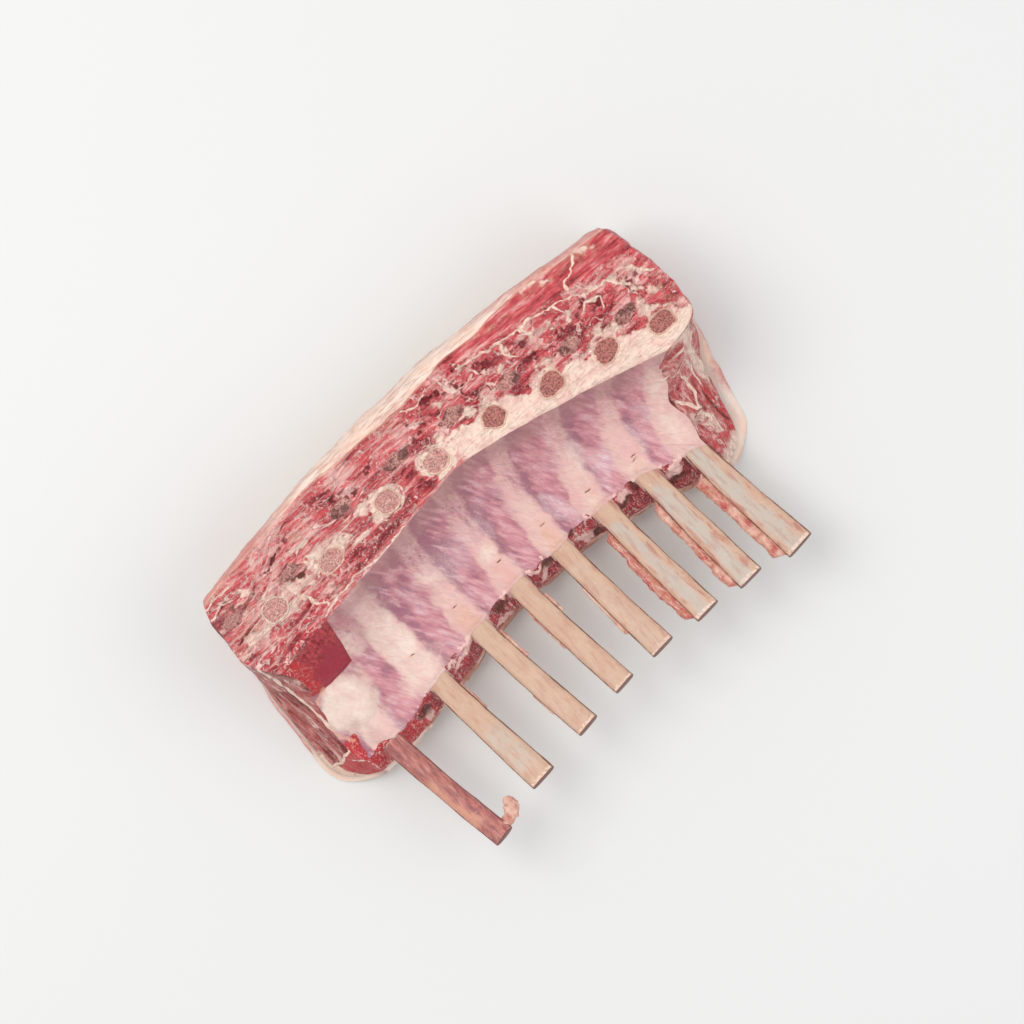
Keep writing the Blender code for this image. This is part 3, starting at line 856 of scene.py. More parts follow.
def build_inner_lining(hues):
    """The inner side of the rib cage: lined ribs, the muscle between them, and the cut between the ribs."""
    wires, shader, place = new_material("inner lining")
    slant = wires.turned(place, 62.0)
    fibre = use(wires, "muscle fibre", {"Vector": slant, "Scale": 1.7, "Sinew": 1.0})
    steep = wires.turned(place, 80.0)
    torn = use(wires, "muscle fibre", {"Vector": steep, "Scale": 1.1, "Sinew": 0.6})
    tissue = use(wires, "soft tissue", {"Vector": place, "Scale": 170.0})
    marble = use(wires, "marbling", {"Vector": place, "Scale": 330.0, "Amount": wires.mask("marble")})
    # The shade mask holds painted shade on one side of each gap and near the ridge, besides the muscle's own
    # patches and streaks.
    muscle = wires.mix(wires.step(wires.mask("shade"), 0.0, 0.5), hues.pleura_pink, hues.pleura)
    muscle = wires.mix(wires.step(wires.mask("shade"), 0.45, 1.0), muscle, hues.pleura_dark_and_shade)
    rough_shade = wires.times(wires.minus(1.0, fibre["Shade"]), 0.95)
    streaked = wires.mix(rough_shade, muscle, wires.mix(0.7, muscle, hues.pleura_dark_and_shade))
    lines = wires.times(fibre["Sinew"], wires.mask("haze"))
    streaked = wires.mix(lines, streaked, hues.haze)
    streaked = wires.mix(wires.times(wires.mask("haze"), 0.5), streaked, hues.haze)
    stained = wires.mix(0.5, hues.membrane, hues.pleura_pink)
    lined = wires.mix(tissue["Stain"], hues.membrane, stained)
    soft = wires.times(wires.minus(fibre["Shade"], 0.5), 0.30)
    pale = wires.plus(wires.mask("pale"), soft)
    colour = wires.mix(wires.step(pale, 0.10, 0.95), streaked, lined)
    creamy = wires.mix(wires.times(tissue["Stain"], 0.5), hues.fat_skin, hues.membrane)
    colour, _ = layer(wires, place, colour, "cream", creamy, 260.0, 1.0, 0.45, 0.9)
    colour, _ = layer(
        wires, place, colour, "tan", wires.mix(0.70, hues.bone, hues.fat_warm), 500.0, 1.5, 0.7, 0.80
    )
    # The grey mask lays painted shade on the steep wall below the ridge, and greyish tissue in a few patches.
    colour, _ = layer(wires, place, colour, "grey", hues.shadow, 260.0, 0.7, 0.45, 0.6)
    meat = wires.mix(torn["Shade"], hues.lean_dark_and_shade, hues.lean)
    meat = wires.mix(wires.mask("smooth"), meat, hues.diaphragm)
    colour, dark = layer(wires, place, colour, "dark", meat, 500.0, 0.5, 0.12)
    colour, _ = layer(wires, place, colour, "bright", hues.lean_bright, 420.0, 0.7, 0.3, 0.85)
    speck = wires.times(marble["Fat"], wires.step(wires.mask("marble"), 0.1, 0.4))
    colour = wires.mix(wires.times(speck, 0.8), colour, hues.sinew)
    colour, _ = layer(wires, place, colour, "seam", hues.sinew, 1100.0, 0.9, 0.2, 0.9)
    colour, _ = layer(wires, place, colour, "rim", hues.fat_warm, 700.0, 0.7, 0.3, 0.7)
    colour, _ = layer(wires, place, colour, "scorch", hues.scorch, 1300.0, 0.6, 0.3, 0.9)
    height = wires.plus(wires.times(fibre["Height"], 0.6), wires.times(tissue["Height"], 0.3))
    height = wires.plus(height, wires.times(torn["Height"], wires.times(dark, 0.8)))
    rough = wires.plus(0.32, wires.times(tissue["Stain"], 0.14))
    finish_material(wires, shader, colour, rough, height, 0.0005, 0.14, 0.03)


def build_fat_skin(hues):
    """The fat and its skin, on the back strip and the outer side."""
    wires, shader, place = new_material("fat skin")
    tissue = use(wires, "soft tissue", {"Vector": place, "Scale": 90.0})
    fibre = use(wires, "muscle fibre", {"Vector": place, "Scale": 0.8, "Sinew": 1.0})
    fine = use(wires, "soft tissue", {"Vector": place, "Scale": 420.0})
    colour = wires.mix(tissue["Stain"], hues.fat_skin, wires.mix(0.30, hues.fat, hues.fat_warm))
    colour = wires.mix(wires.times(fine["Fleck"], 0.25), colour, hues.fat_warm)
    fringe = wires.mix(fine["Stain"], hues.fringe, wires.mix(0.4, hues.fringe, hues.fat_warm))
    rosy = wires.mix(0.40, hues.lean, hues.lean_brown)
    meaty = wires.mix(fibre["Shade"], rosy, wires.mix(0.38, rosy, hues.sinew))
    colour, _ = layer(wires, place, colour, "meat", meaty, 420.0, 0.9, 0.55, 0.9)
    bands = wires.step(fibre["Shade"], 0.45, 0.95)
    colour = wires.mix(
        wires.times(bands, wires.mask("streak")), colour, wires.mix(0.6, hues.fat_warm, hues.lean_brown)
    )
    colour = wires.mix(
        wires.times(wires.times(fibre["Sinew"], wires.mask("streak")), 0.8), colour, hues.fringe
    )
    colour, _ = layer(wires, place, colour, "rim", hues.fat_warm, 700.0, 0.7, 0.35, 0.7)
    colour, _ = layer(wires, place, colour, "fringe", fringe, 900.0, 0.7, 0.3, 0.95)
    height = wires.plus(wires.times(tissue["Height"], 0.7), wires.times(fine["Height"], 0.3))
    height = wires.plus(height, wires.times(fibre["Height"], wires.times(wires.mask("streak"), 0.6)))
    rough = wires.plus(0.38, wires.times(fine["Stain"], 0.12))
    finish_material(wires, shader, colour, rough, height, 0.0004, 0.1, 0.05)


def build_bone(hues):
    """Scraped rib bone, with traces of membrane and blood, and the sawn ends."""
    wires, shader, place = new_material("rib bone")
    tissue = use(wires, "soft tissue", {"Vector": place, "Scale": 130.0})
    fine = use(wires, "soft tissue", {"Vector": place, "Scale": 620.0})
    along = wires.stretched(place, (700.0, 110.0, 500.0))
    scratch = wires.noise(along, 1.0, 3.0, 0.6, 0.3)
    thin = wires.stretched(place, (1000.0, 150.0, 800.0))
    streak = wires.noise(thin, 1.0, 2.0, 0.6, 0.2)
    sponge = use(wires, "sawn sponge", {"Vector": place, "Scale": 1700.0})
    warm = wires.mix(0.30, hues.bone, hues.bone_stain)
    colour = wires.mix(wires.times(tissue["Stain"], 0.6), hues.bone, warm)
    colour, _ = layer(wires, place, colour, "bare", hues.bone_pale, 420.0, 0.9, 0.6, 0.8)
    traces = wires.times(wires.step(scratch, 0.47, 0.66), wires.mask("trace"))
    colour = wires.mix(wires.times(traces, 0.75), colour, hues.bone_stain)
    membrane = wires.mix(
        wires.step(streak, 0.25, 0.75),
        hues.bruise,
        wires.mix(wires.times(wires.step(scratch, 0.4, 0.8), 0.5), hues.bruise_red, hues.membrane),
    )
    colour, _ = layer(wires, place, colour, "stain", membrane, 420.0, 0.8, 0.4, 0.95)
    colour, _ = layer(
        wires, place, colour, "warm", wires.mix(0.35, hues.fat_warm, hues.bone_stain), 300.0, 1.2, 0.6, 0.85
    )
    colour = wires.mix(wires.times(fine["Fleck"], 0.38), colour, hues.bone_stain)
    web = wires.mix(sponge["Shade"], hues.marrow, wires.mix(0.55, hues.marrow, hues.fat))
    pith = wires.mix(wires.times(sponge["Pore"], 0.8), web, hues.marrow_dark)
    grains = wires.step(wires.noise(place, 1500.0, 3.0, 0.75), 0.47, 0.58)
    pith = wires.mix(wires.times(grains, 0.55), pith, hues.bruise)
    colour, pith_mask = layer(wires, place, colour, "pith", pith, 900.0, 0.9, 0.3)
    bloody = wires.mix(
        wires.times(grains, 0.9), wires.mix(0.40, hues.lean_brown, hues.bruise_red), hues.marrow_dark
    )
    colour, _ = layer(wires, place, colour, "deep", bloody, 1900.0, 1.2, 0.4, 0.85)
    colour, _ = layer(wires, place, colour, "ring", hues.fat, 1000.0, 1.9, 0.3, 0.85)
    colour, _ = layer(wires, place, colour, "scorch", hues.scorch, 1100.0, 0.7, 0.3, 0.85)
    height = wires.plus(wires.times(scratch, 0.4), wires.times(fine["Height"], 0.4))
    height = wires.plus(height, wires.times(sponge["Height"], pith_mask))
    rough = wires.plus(0.40, wires.times(tissue["Stain"], 0.16))
    finish_material(wires, shader, colour, rough, height, 0.0002, 0.1, 0.03)


def build_sponge(hues):
    """The cut stumps of the vertebrae: dark sawn sponge."""
    wires, shader, place = new_material("sawn stump")
    sponge = use(wires, "sawn sponge", {"Vector": place, "Scale": 1500.0})
    tissue = use(wires, "soft tissue", {"Vector": place, "Scale": 500.0})
    web = wires.mix(
        sponge["Shade"],
        wires.mix(0.45, hues.marrow, hues.marrow_dark),
        wires.mix(0.25, hues.marrow, hues.bone),
    )
    colour = wires.mix(sponge["Pore"], web, hues.marrow_dark)
    colour, _ = layer(wires, place, colour, "dark", hues.marrow_dark, 900.0, 2.2, 0.35, 0.85)
    colour, _ = layer(
        wires, place, colour, "ring", wires.mix(0.35, hues.lean, hues.sinew), 800.0, 1.8, 0.3, 0.85
    )
    height = wires.plus(sponge["Height"], wires.times(tissue["Height"], 0.3))
    finish_material(wires, shader, colour, 0.45, height, 0.0004, 0.1, 0.02)


def build_trimming(hues):
    """Scraps of meat and membrane left on the ribs."""
    wires, shader, place = new_material("trimming")
    along = wires.turned(place, 90.0)
    fibre = use(wires, "muscle fibre", {"Vector": along, "Scale": 1.6, "Sinew": 1.0})
    tissue = use(wires, "soft tissue", {"Vector": place, "Scale": 420.0})
    rosy = wires.mix(0.45, hues.lean_brown, hues.fat_warm)
    colour = wires.mix(tissue["Stain"], rosy, wires.mix(0.5, hues.lean_brown, hues.lean))
    colour = wires.mix(wires.times(fibre["Sinew"], 0.6), colour, hues.sinew)
    colour, _ = layer(
        wires, place, colour, "pale", wires.mix(0.4, hues.fat, hues.fat_warm), 500.0, 0.9, 0.4, 0.85
    )
    colour, _ = layer(wires, place, colour, "scorch", hues.scorch, 900.0, 0.7, 0.3, 0.85)
    height = wires.plus(fibre["Height"], tissue["Height"])
    finish_material(wires, shader, colour, 0.42, height, 0.0003, 0.12, 0.03)


def build_floor(hues):
    """The plain floor."""
    wires, shader, place = new_material("plain floor")
    cloud = wires.noise(place, 3.0, 2.0, 0.5)
    shade = wires.mix(0.03, hues.floor, (0.8, 0.79, 0.77))
    wires.feed(shader.inputs["Base Color"], wires.mix(wires.step(cloud, 0.3, 0.7), hues.floor, shade))
    shader.inputs["Roughness"].default_value = 0.6


# ------------------------------------------------------------------------------------------ what lies where

# All these places are in plan, in millimetres. Ovals: x, y, half width, half height, turn in degrees.

# Winding white seams in the sawn face.
FACE_SEAMS = (
    (
        (26, 56.5), (36, 54.5), (48, 52.5), (60, 50.5), (68, 49.0), (74, 45.5), (80, 44.0), (89, 43.0),
        (93, 38.5), (97.5, 35.5),
    ),
    ((75.5, 49.5), (76.5, 46.0), (80.0, 44.0)),
    ((82, 58), (79, 54.5), (73.5, 52), (71, 49)),
    ((84, 43.5), (85.5, 40.0), (88.5, 37.0)),
    ((30.0, 54.0), (31.0, 50.0)),
    ((43.0, 53.0), (42.5, 49.0), (44.5, 46.0)),
    ((50.0, 52.0), (53.0, 48.0), (52.0, 46.0)),
    ((65.0, 49.0), (66.5, 44.0), (65.0, 41.5)),
    ((70.0, 40.0), (73.0, 43.0), (78.0, 41.0), (76.5, 38.0)),
    ((4.0, 59.0), (7.0, 57.0), (13.0, 58.0)),
    ((20.0, 58.0), (21.5, 52.0), (25.0, 50.5), (29.0, 52.0)),
    ((-61, 26.5), (-52, 28.6), (-45, 29.6), (-38, 28.9), (-30, 29.0), (-20, 31)),
    ((-91, 56), (-84, 56.8), (-78, 56.0)),
    ((-62, 37.5), (-60.5, 33.0), (-57.5, 28.5)),
    ((-90, 52.5), (-84, 53.6), (-80, 52.5)),
)
# Patches of cream fat in the sawn face.
FACE_FAT = (
    (
        -77, 52.0, 4.6, 1.9, -10
    ), (-84, 37.0, 6.0, 2.6, 8), (-66, 36.5, 5.0, 2.4, -8), (-58, 40.0, 3.4, 2.6, 0),
    (-66.5, 57.8, 2.4, 1.1, 10), (-75, 50.3, 3.2, 1.3, -20), (-79, 37.5, 9.0, 2.0, 5),
    (-64, 40.5, 3.0, 4.4, 20), (-72, 43.5, 3.0, 1.2, 10), (
        -40, 42.0, 4.4, 3.6, -20
    ), (-34, 37.5, 5.0, 1.4, 10),
    (-52.5, 42.5, 2.6, 3.0, 0), (-15.5, 42.5, 2.6, 3.0, 0), (
        -16.5, 34.5, 3.6, 1.6, 10
    ), (-28, 44.0, 2.4, 1.8, 0),
    (-51, 50.0, 4.0, 0.8, 5), (-26.5, 38, 2, 3, 0), (27, 57.0, 1.6, 2.4, 15), (14, 53.0, 1.3, 1.0, 0),
    (38.5, 46.5, 1.6, 2.0, 0), (43, 49.0, 1.4, 3.0, 10), (53, 48.0, 1.8, 1.6, 0), (
        55.5, 45.4, 2.0, 1.3, 20
    ),
    (
        60.5, 43.5, 1.4, 2.6, 10
    ), (66.5, 43.0, 1.4, 3.2, 0), (84, 56.5, 5.0, 1.4, -30), (66, 59.0, 5.0, 1.1, -20),
    (85.5, 40.0, 1.4, 2.6, 20), (91, 40.0, 1.8, 1.6, 0), (7, 43.0, 3.6, 1.6, -10), (19, 42.6, 2.6, 2.4, 0),
    (
        30, 38.5, 3.6, 2.6, -10
    ), (29, 42.6, 4.6, 0.9, 5), (72, 30.0, 5.0, 3.0, -20), (58, 29.0, 5.0, 3.4, -20),
    (49, 37.8, 4.4, 1.8, -12), (
        69.5, 33.6, 3.0, 2.4, -20
    ), (85, 27.5, 2.6, 4.0, -20), (92.5, 30.5, 1.4, 3.0, 15),
    (88.5, 34.0, 1.2, 2.2, 20),
)
# Brownish tissue in the sawn face.
FACE_BROWN = (
    (
        -82.5, 48.5, 6.0, 3.6, -10
    ), (-84, 40.5, 5.0, 3.0, 5), (-49.5, 53.5, 3.2, 3.2, 0), (-33, 46.5, 5.0, 2.0, 25),
    (83, 56.0, 9.0, 3.0, -18), (66, 57.4, 9.0, 1.6, -12), (-93, 48, 2.0, 9.0, 0), (95, 28, 2.2, 6.0, 10),
    (-2, 60, 7, 1.6, 0), (48, 57.6, 9, 1.2, -9),
)
# Dark blood in the sawn face.
FACE_BLOOD = (
    (
        -58.5, 53.3, 5.5, 1.2, 22
    ), (-63.5, 51.6, 3.0, 0.7, 12), (-62, 44.5, 3.0, 1.4, -30), (-56.5, 43.0, 3.4, 1.6, 0),
    (
        -33.5, 53.2, 6.0, 1.0, 8
    ), (-28, 50.0, 2.5, 1.8, 0), (-33, 40.8, 2.2, 1.2, 0), (-8.5, 42.0, 2.4, 2.2, 20),
    (-8, 35.5, 4.0, 2.4, 10), (15, 39.8, 2.8, 1.8, 10), (
        37.0, 36.0, 1.5, 2.8, -35
    ), (58, 30.0, 3.2, 1.1, 40),
    (57, 37.0, 6.0, 0.9, 0), (
        36.5, 41.5, 5.0, 1.2, -10
    ), (72, 33.0, 2.6, 1.1, -20), (78.5, 25.5, 2.4, 1.0, 30),
    (14, 55.5, 5.5, 2.0, -15), (
        33.5, 52.5, 4.5, 2.2, -35
    ), (25, 46.5, 3.0, 1.2, -10), (48, 42.0, 5.0, 1.6, -10),
    (-88, 50.0, 1.4, 5.0, 0), (
        -85, 53.0, 3.5, 0.8, 10
    ), (-86, 40.0, 4.0, 1.1, 5), (-18, 53.5, 4.0, 2.4, 10),
    (46, 47.5, 3.0, 2.4, 20), (75, 39.0, 3.5, 2.6, 20), (63, 40, 3.6, 1.4, -15), (5, 50.5, 4.4, 1.6, 10),
)
# Nearly black slits in the sawn face.
FACE_SCORCH = (
    (-60, 52.8, 5.0, 0.7, 22), (-34, 53.4, 5.5, 0.7, 8), (
        -58.5, 42.8, 3.4, 1.2, 5
    ), (-28.5, 48, 4.2, 1.8, 50),
    (-7.5, 47.6, 4.6, 2.0, 20), (-6, 37.6, 3.4, 0.8, -12), (
        38.5, 41.5, 3.4, 1.8, -20
    ), (57, 37.2, 5.4, 0.6, 0),
    (14.5, 45.6, 3.6, 1.6, 0), (79.5, 31, 3.2, 2.0, -15), (-61.5, 44.6, 2.4, 0.8, -30),
)


def rib_heads():
    """x and y of each rib's head in the sawn face."""
    return [(float(rib_x(rib, rib[3])), rib[3]) for rib in RIBS]


def stump_places():
    """x, y, half length and half width of each vertebra's stump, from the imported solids."""
    places = []
    for number in range(1, 9):
        low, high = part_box(f"process_{number}")
        x, y = (low[0] + high[0]) / 2, (low[1] + high[1]) / 2
        places.append((x, y + 0.0008, (high[0] - low[0]) / 2, (high[1] - low[1]) / 2 - 0.0006))
    return places


class RACK_OT_sawn_face(Operator):
    """Makes the sawn face, where the backbone was taken off."""

    bl_idname = "rack.sawn_face"
    bl_label = "Sawn face"

    def execute(self, context):
        sizes = context.scene.rack_sizes
        build_cut_meat("sawn meat", hues_of(context), 3.0, 0.0)
        share, across = shares(sizes.face_columns, sizes.face_rows)
        x, y, z = settle(share, lambda at: face_line(at, across))
        points = np.stack([x, y, z], axis=2)
        wx = x + 0.0012 * noise(x, y, 0.0, 0.004, 21, 2)
        wy = y + 0.0008 * noise(x, y, 0.0, 0.004, 22, 2)
        torn_x = wx + 0.0024 * noise(x * 0.6, y, 0.0, 0.0030, 17, 4)
        torn_y = wy + 0.0018 * noise(x * 0.6, y, 0.0, 0.0030, 18, 4)
        ridge, back = ridge_y(x), back_y(x) - fat_back(x)
        row = 0.0400 - 0.020 * np.clip((x - 0.004) / 0.083, 0, 1.1) ** 1.25
        right = smoothstep((x - 0.004) / 0.008)
        # Cream fat fills the band between the ridge and the vertebra stumps on the shoulder side.
        ragged = 0.0040 * noise(x, y, 0.0, 0.005, 23, 4)
        band = right * (1.0 - smoothstep((wy - row - 0.0008 - ragged) / 0.0030))
        halo, close = np.zeros(x.shape), np.zeros(x.shape)
        for (hx, hy), left in zip(rib_heads(), (0.45, 1, 1, 1, 0.8, 0.8, 0.8, 0.8), strict=True):
            away = np.hypot(x - hx, (y - hy) * 1.1)
            halo = np.maximum(
                halo,
                left * (1.0 - smoothstep((np.hypot(torn_x - hx, (torn_y - hy) * 1.1) - 0.0058) / 0.0024)),
            )
            close = np.maximum(close, 1.0 - smoothstep((away - 0.0054) / 0.0014))
        for px, py, half, thick in stump_places():
            around = np.hypot((x - px) / half, (y - py) / thick)
            close = np.maximum(close, 1.0 - smoothstep((around - 1.2) / 0.5))
        specks = smoothstep(noise(x * 0.7, y, 0.0, 0.0013, 6, 3) * 2.4 + 0.35)
        fat = np.maximum(np.maximum(band, halo * 0.92), 0.86 * blots(torn_x, torn_y, FACE_FAT, 0.85))
        strip = smoothstep((x + 0.061) / 0.003) * (1 - smoothstep((x + 0.004) / 0.004))
        strip *= smoothstep((wy - ridge - 0.0016) / 0.0012) * (1 - smoothstep((wy - 0.0358) / 0.0016))
        fat = fat * (1.0 - strip)
        loin = 1.0 - smoothstep((x + 0.022) / 0.030)
        top_line = (
            0.0570
            - 0.15 * np.clip(x - 0.026, 0, 0.042)
            - 0.28 * np.clip(x - 0.068, 0, 0.012)
            - 0.45 * np.clip(x - 0.089, 0, 1)
        )
        upper = smoothstep((x - 0.020) / 0.012) * smoothstep((wy - top_line) / 0.0012)
        chunks = (1 - loin) * (1 - upper) * (1 - band) * smoothstep((y - row) / 0.004)
        # The fibres rise to the right in the loin, and fall along the smooth muscle at the shoulder.
        lean = 0.10 - 0.26 * upper
        rise = 0.40 * blots(x, y, ((-64, 52, 20, 9, 15),), 0.9)
        along = x + lean * y + rise * (y - 0.052)
        cross = y - lean * x - rise * (x + 0.064) - 0.0010 * noise(x, y, 0.0, 0.011, 29, 2)
        fibres = noise(along * 0.10, cross, 0.0, 0.0010, 26, 3)
        fold = noise(along * 0.16, cross, 0.0, 0.0023, 30, 3)
        broken = smoothstep(noise(along * 0.4, cross, 0.0, 0.0045, 31, 2) * 1.6 + 0.55)
        second = noise(along * 0.22, cross + 0.0004 * noise(x, y, 0.0, 0.004, 12, 2), 0.0, 0.0014, 11, 2)
        sinew = np.maximum(
            (1.0 - smoothstep(np.abs(fold) / 0.15)) * broken,
            0.75 * (1.0 - smoothstep(np.abs(second) / 0.13)) * (1.0 - 0.6 * broken),
        )
        sinew = sinew * (0.95 * loin + 0.30 * chunks + 0.35 * upper * broken) * (1 - strip)
        # Painted shade in the valleys between fibre bundles.
        valley_shade = (
            smoothstep((-fold - 0.22) / 0.20)
            * smoothstep(second * 2.0 + 0.7)
            * (loin + 0.3 * upper)
            * (1 - strip)
        )
        bent_x = x * 0.62 + 0.0034 * noise(x, y, 0.0, 0.0042, 32, 3)
        bent_y = y + 0.15 * x + 0.0030 * noise(x, y, 0.0, 0.0042, 33, 3)
        edge, shade = cells(bent_x, bent_y, 0.0046, 34)
        gaps = smoothstep(noise(x, y, 0.0, 0.0035, 35, 2) * 1.8 + 0.45)
        outline = (1.0 - smoothstep(edge / 0.16)) * gaps * chunks
        sinew = np.maximum(sinew, outline)
        # Painted shade in the crevices along the borders of some lumps.
        crevice_shade = (
            (1.0 - smoothstep((edge - 0.08) / 0.30))
            * smoothstep((shade - 0.35) / 0.3)
            * chunks
            * (1 - outline)
            * 1.1
        )
        crevice_shade = crevice_shade * smoothstep(noise(x, y, 0.0, 0.0040, 10, 2) * 2.0 + 0.2)
        dark = np.maximum(
            np.maximum(
                blots(torn_x, torn_y, FACE_BLOOD, 1.0) * (0.30 + 0.70 * specks), 0.45 * strip * specks
            ),
            np.maximum(0.8 * crevice_shade, 0.6 * valley_shade),
        )
        grain_spots = noise(x, y, 0.0, 0.0011, 36, 2)
        uneven = 0.00042 * (1.0 + 0.8 * noise(x, y, 0.0, 0.003, 24, 2))
        ring_seam = np.zeros(x.shape)
        for (hx, hy), strength in zip(
            rib_heads(), (0.25, 0.75, 0.80, 0.75, 0.40, 0.30, 0.30, 0.30), strict=True
        ):
            away = np.hypot((wx - hx - 0.0003) / 0.0064, (wy - hy) / 0.0050) - 1.0
            ring_seam = np.maximum(ring_seam, strength * np.exp(-((away / 0.055) ** 2)))
        seam = strokes(
            wx + 0.0004 * noise(x, y, 0.0, 0.0014, 25, 2),
            wy + 0.0004 * noise(x, y, 0.0, 0.0014, 19, 2),
            FACE_SEAMS,
            uneven,
        )
        fat = np.clip(
            fat - 0.55 * smoothstep(noise(x * 0.5, y, 0.0, 0.0017, 37, 3) * 2.4 - 0.1) * (1 - 0.85 * band),
            0,
            1,
        )
        tone = 0.60 + 0.34 * noise(x, y, 0.0, 0.009, 38, 2) + 0.30 * fibres + 0.60 * (shade - 0.5) * chunks
        tone = (
            tone
            - 0.30 * strip
            - 0.10 * upper
            + 0.25 * strip * smoothstep((-0.045 - x) / 0.006)
            + 0.3 * grain_spots * strip
        )
        masks = {
            "tone": tone,
            "fat": fat,
            "seam": np.maximum(seam, ring_seam * smoothstep(noise(x, y, 0.0, 0.0024, 13, 2) * 2.0 + 0.7)),
            "sinew": np.maximum(sinew, 0.75 * strip * smoothstep(grain_spots * 3.0 - 1.0)),
            "dark": dark,
            "bright": (
                0.30 * upper
                + 0.5 * blots(wx, wy, ((-12, 33, 9, 2.0, 8), (-75, 30, 9, 5, 0), (-16, 56, 5, 3, 0)), 0.8)
            ),
            "marble": (
                0.24 * chunks
                + 0.30 * loin * (1 - strip)
                + 0.45 * blots(torn_x, torn_y, ((-75, 29, 13, 5, 0),), 0.9)
                + 0.35 * strip
                - 0.5 * upper
            ),
            "stripe": (
                0.15
                + 0.65 * loin
                + 0.25 * upper * smoothstep(noise(x * 0.5, y, 0.0, 0.008, 16, 2) * 2)
                - 0.3 * strip
            ),
            "brown": blots(torn_x, torn_y, FACE_BROWN, 1.0) * 0.7 * (1 - 0.5 * specks),
            "rim": 0.55 * smoothstep((0.0012 - (back - y)) / 0.0010),
            "scorch": 0.85 * blots(torn_x, torn_y, FACE_SCORCH, 1.0) * specks,
        }
        relief = (
            sizes.grain * fibres * (0.35 + 0.65 * loin)
            + 1.6 * sizes.grain * (1.0 - smoothstep(np.abs(fold) / 0.3)) * loin
        )
        relief += (
            sizes.lumps * (smoothstep(edge / 0.5) - 0.6) * chunks
            + 0.0004 * noise(x, y, 0.0, 0.0042, 27, 3)
        )
        relief += 0.00025 * fat + 0.0003 * seam - 0.0005 * dark + 0.0005 * noise(x, y, 0.0, 0.022, 28, 2)
        relief = relief * (1 - close) - 0.0002 * close
        points = raised(points, relief, 0.0016)
        made = mesh_of("sawn_face", points, grid_faces(*x.shape), masks)
        finish_piece(made, "sawn meat", ("loin_meat",))
        return {"FINISHED"}


# Knife slits in the lining over ribs 2 to 7.
SLITS = ((-50, -2.5), (-28, 0), (-7, 0.6), (12, -0.6), (31.3, -3.0), (50, -5.2))
# Whitish sheets of fascia in the cut between the ribs.
FASCIA = (
    (
        20.5, -14.0, 5.0, 1.3, -20
    ), (38.5, -12.5, 3.0, 2.8, 30), (56.5, -18.5, 3.4, 2.4, 10), (-38, -14.5, 6.0, 0.8, 18),
    (-20, -15.0, 4.0, 0.9, 0), (2, -13.5, 3.0, 1.0, 20), (-60, -21.5, 2.0, 1.6, 30),
)
# Hollows in the cut between the ribs, pressed in a little and darkened with painted shade.
SHADED_PITS = (
    (-61, -19.5, 3.6, 1.3, 8), (-42, -11.5, 3.4, 1.6, 0), (-17, -11, 4, 1.6, 0), (5, -11.5, 3.4, 2, 10),
    (17, -9.5, 3, 1.6, 0), (24.5, -16.5, 1.6, 1.4, 0), (36, -15.5, 4.4, 1.2, 0), (55, -21.6, 5, 1.6, 0),
    (43, -13, 1.4, 3, 0), (61.4, -20, 1.4, 3, 0),
)


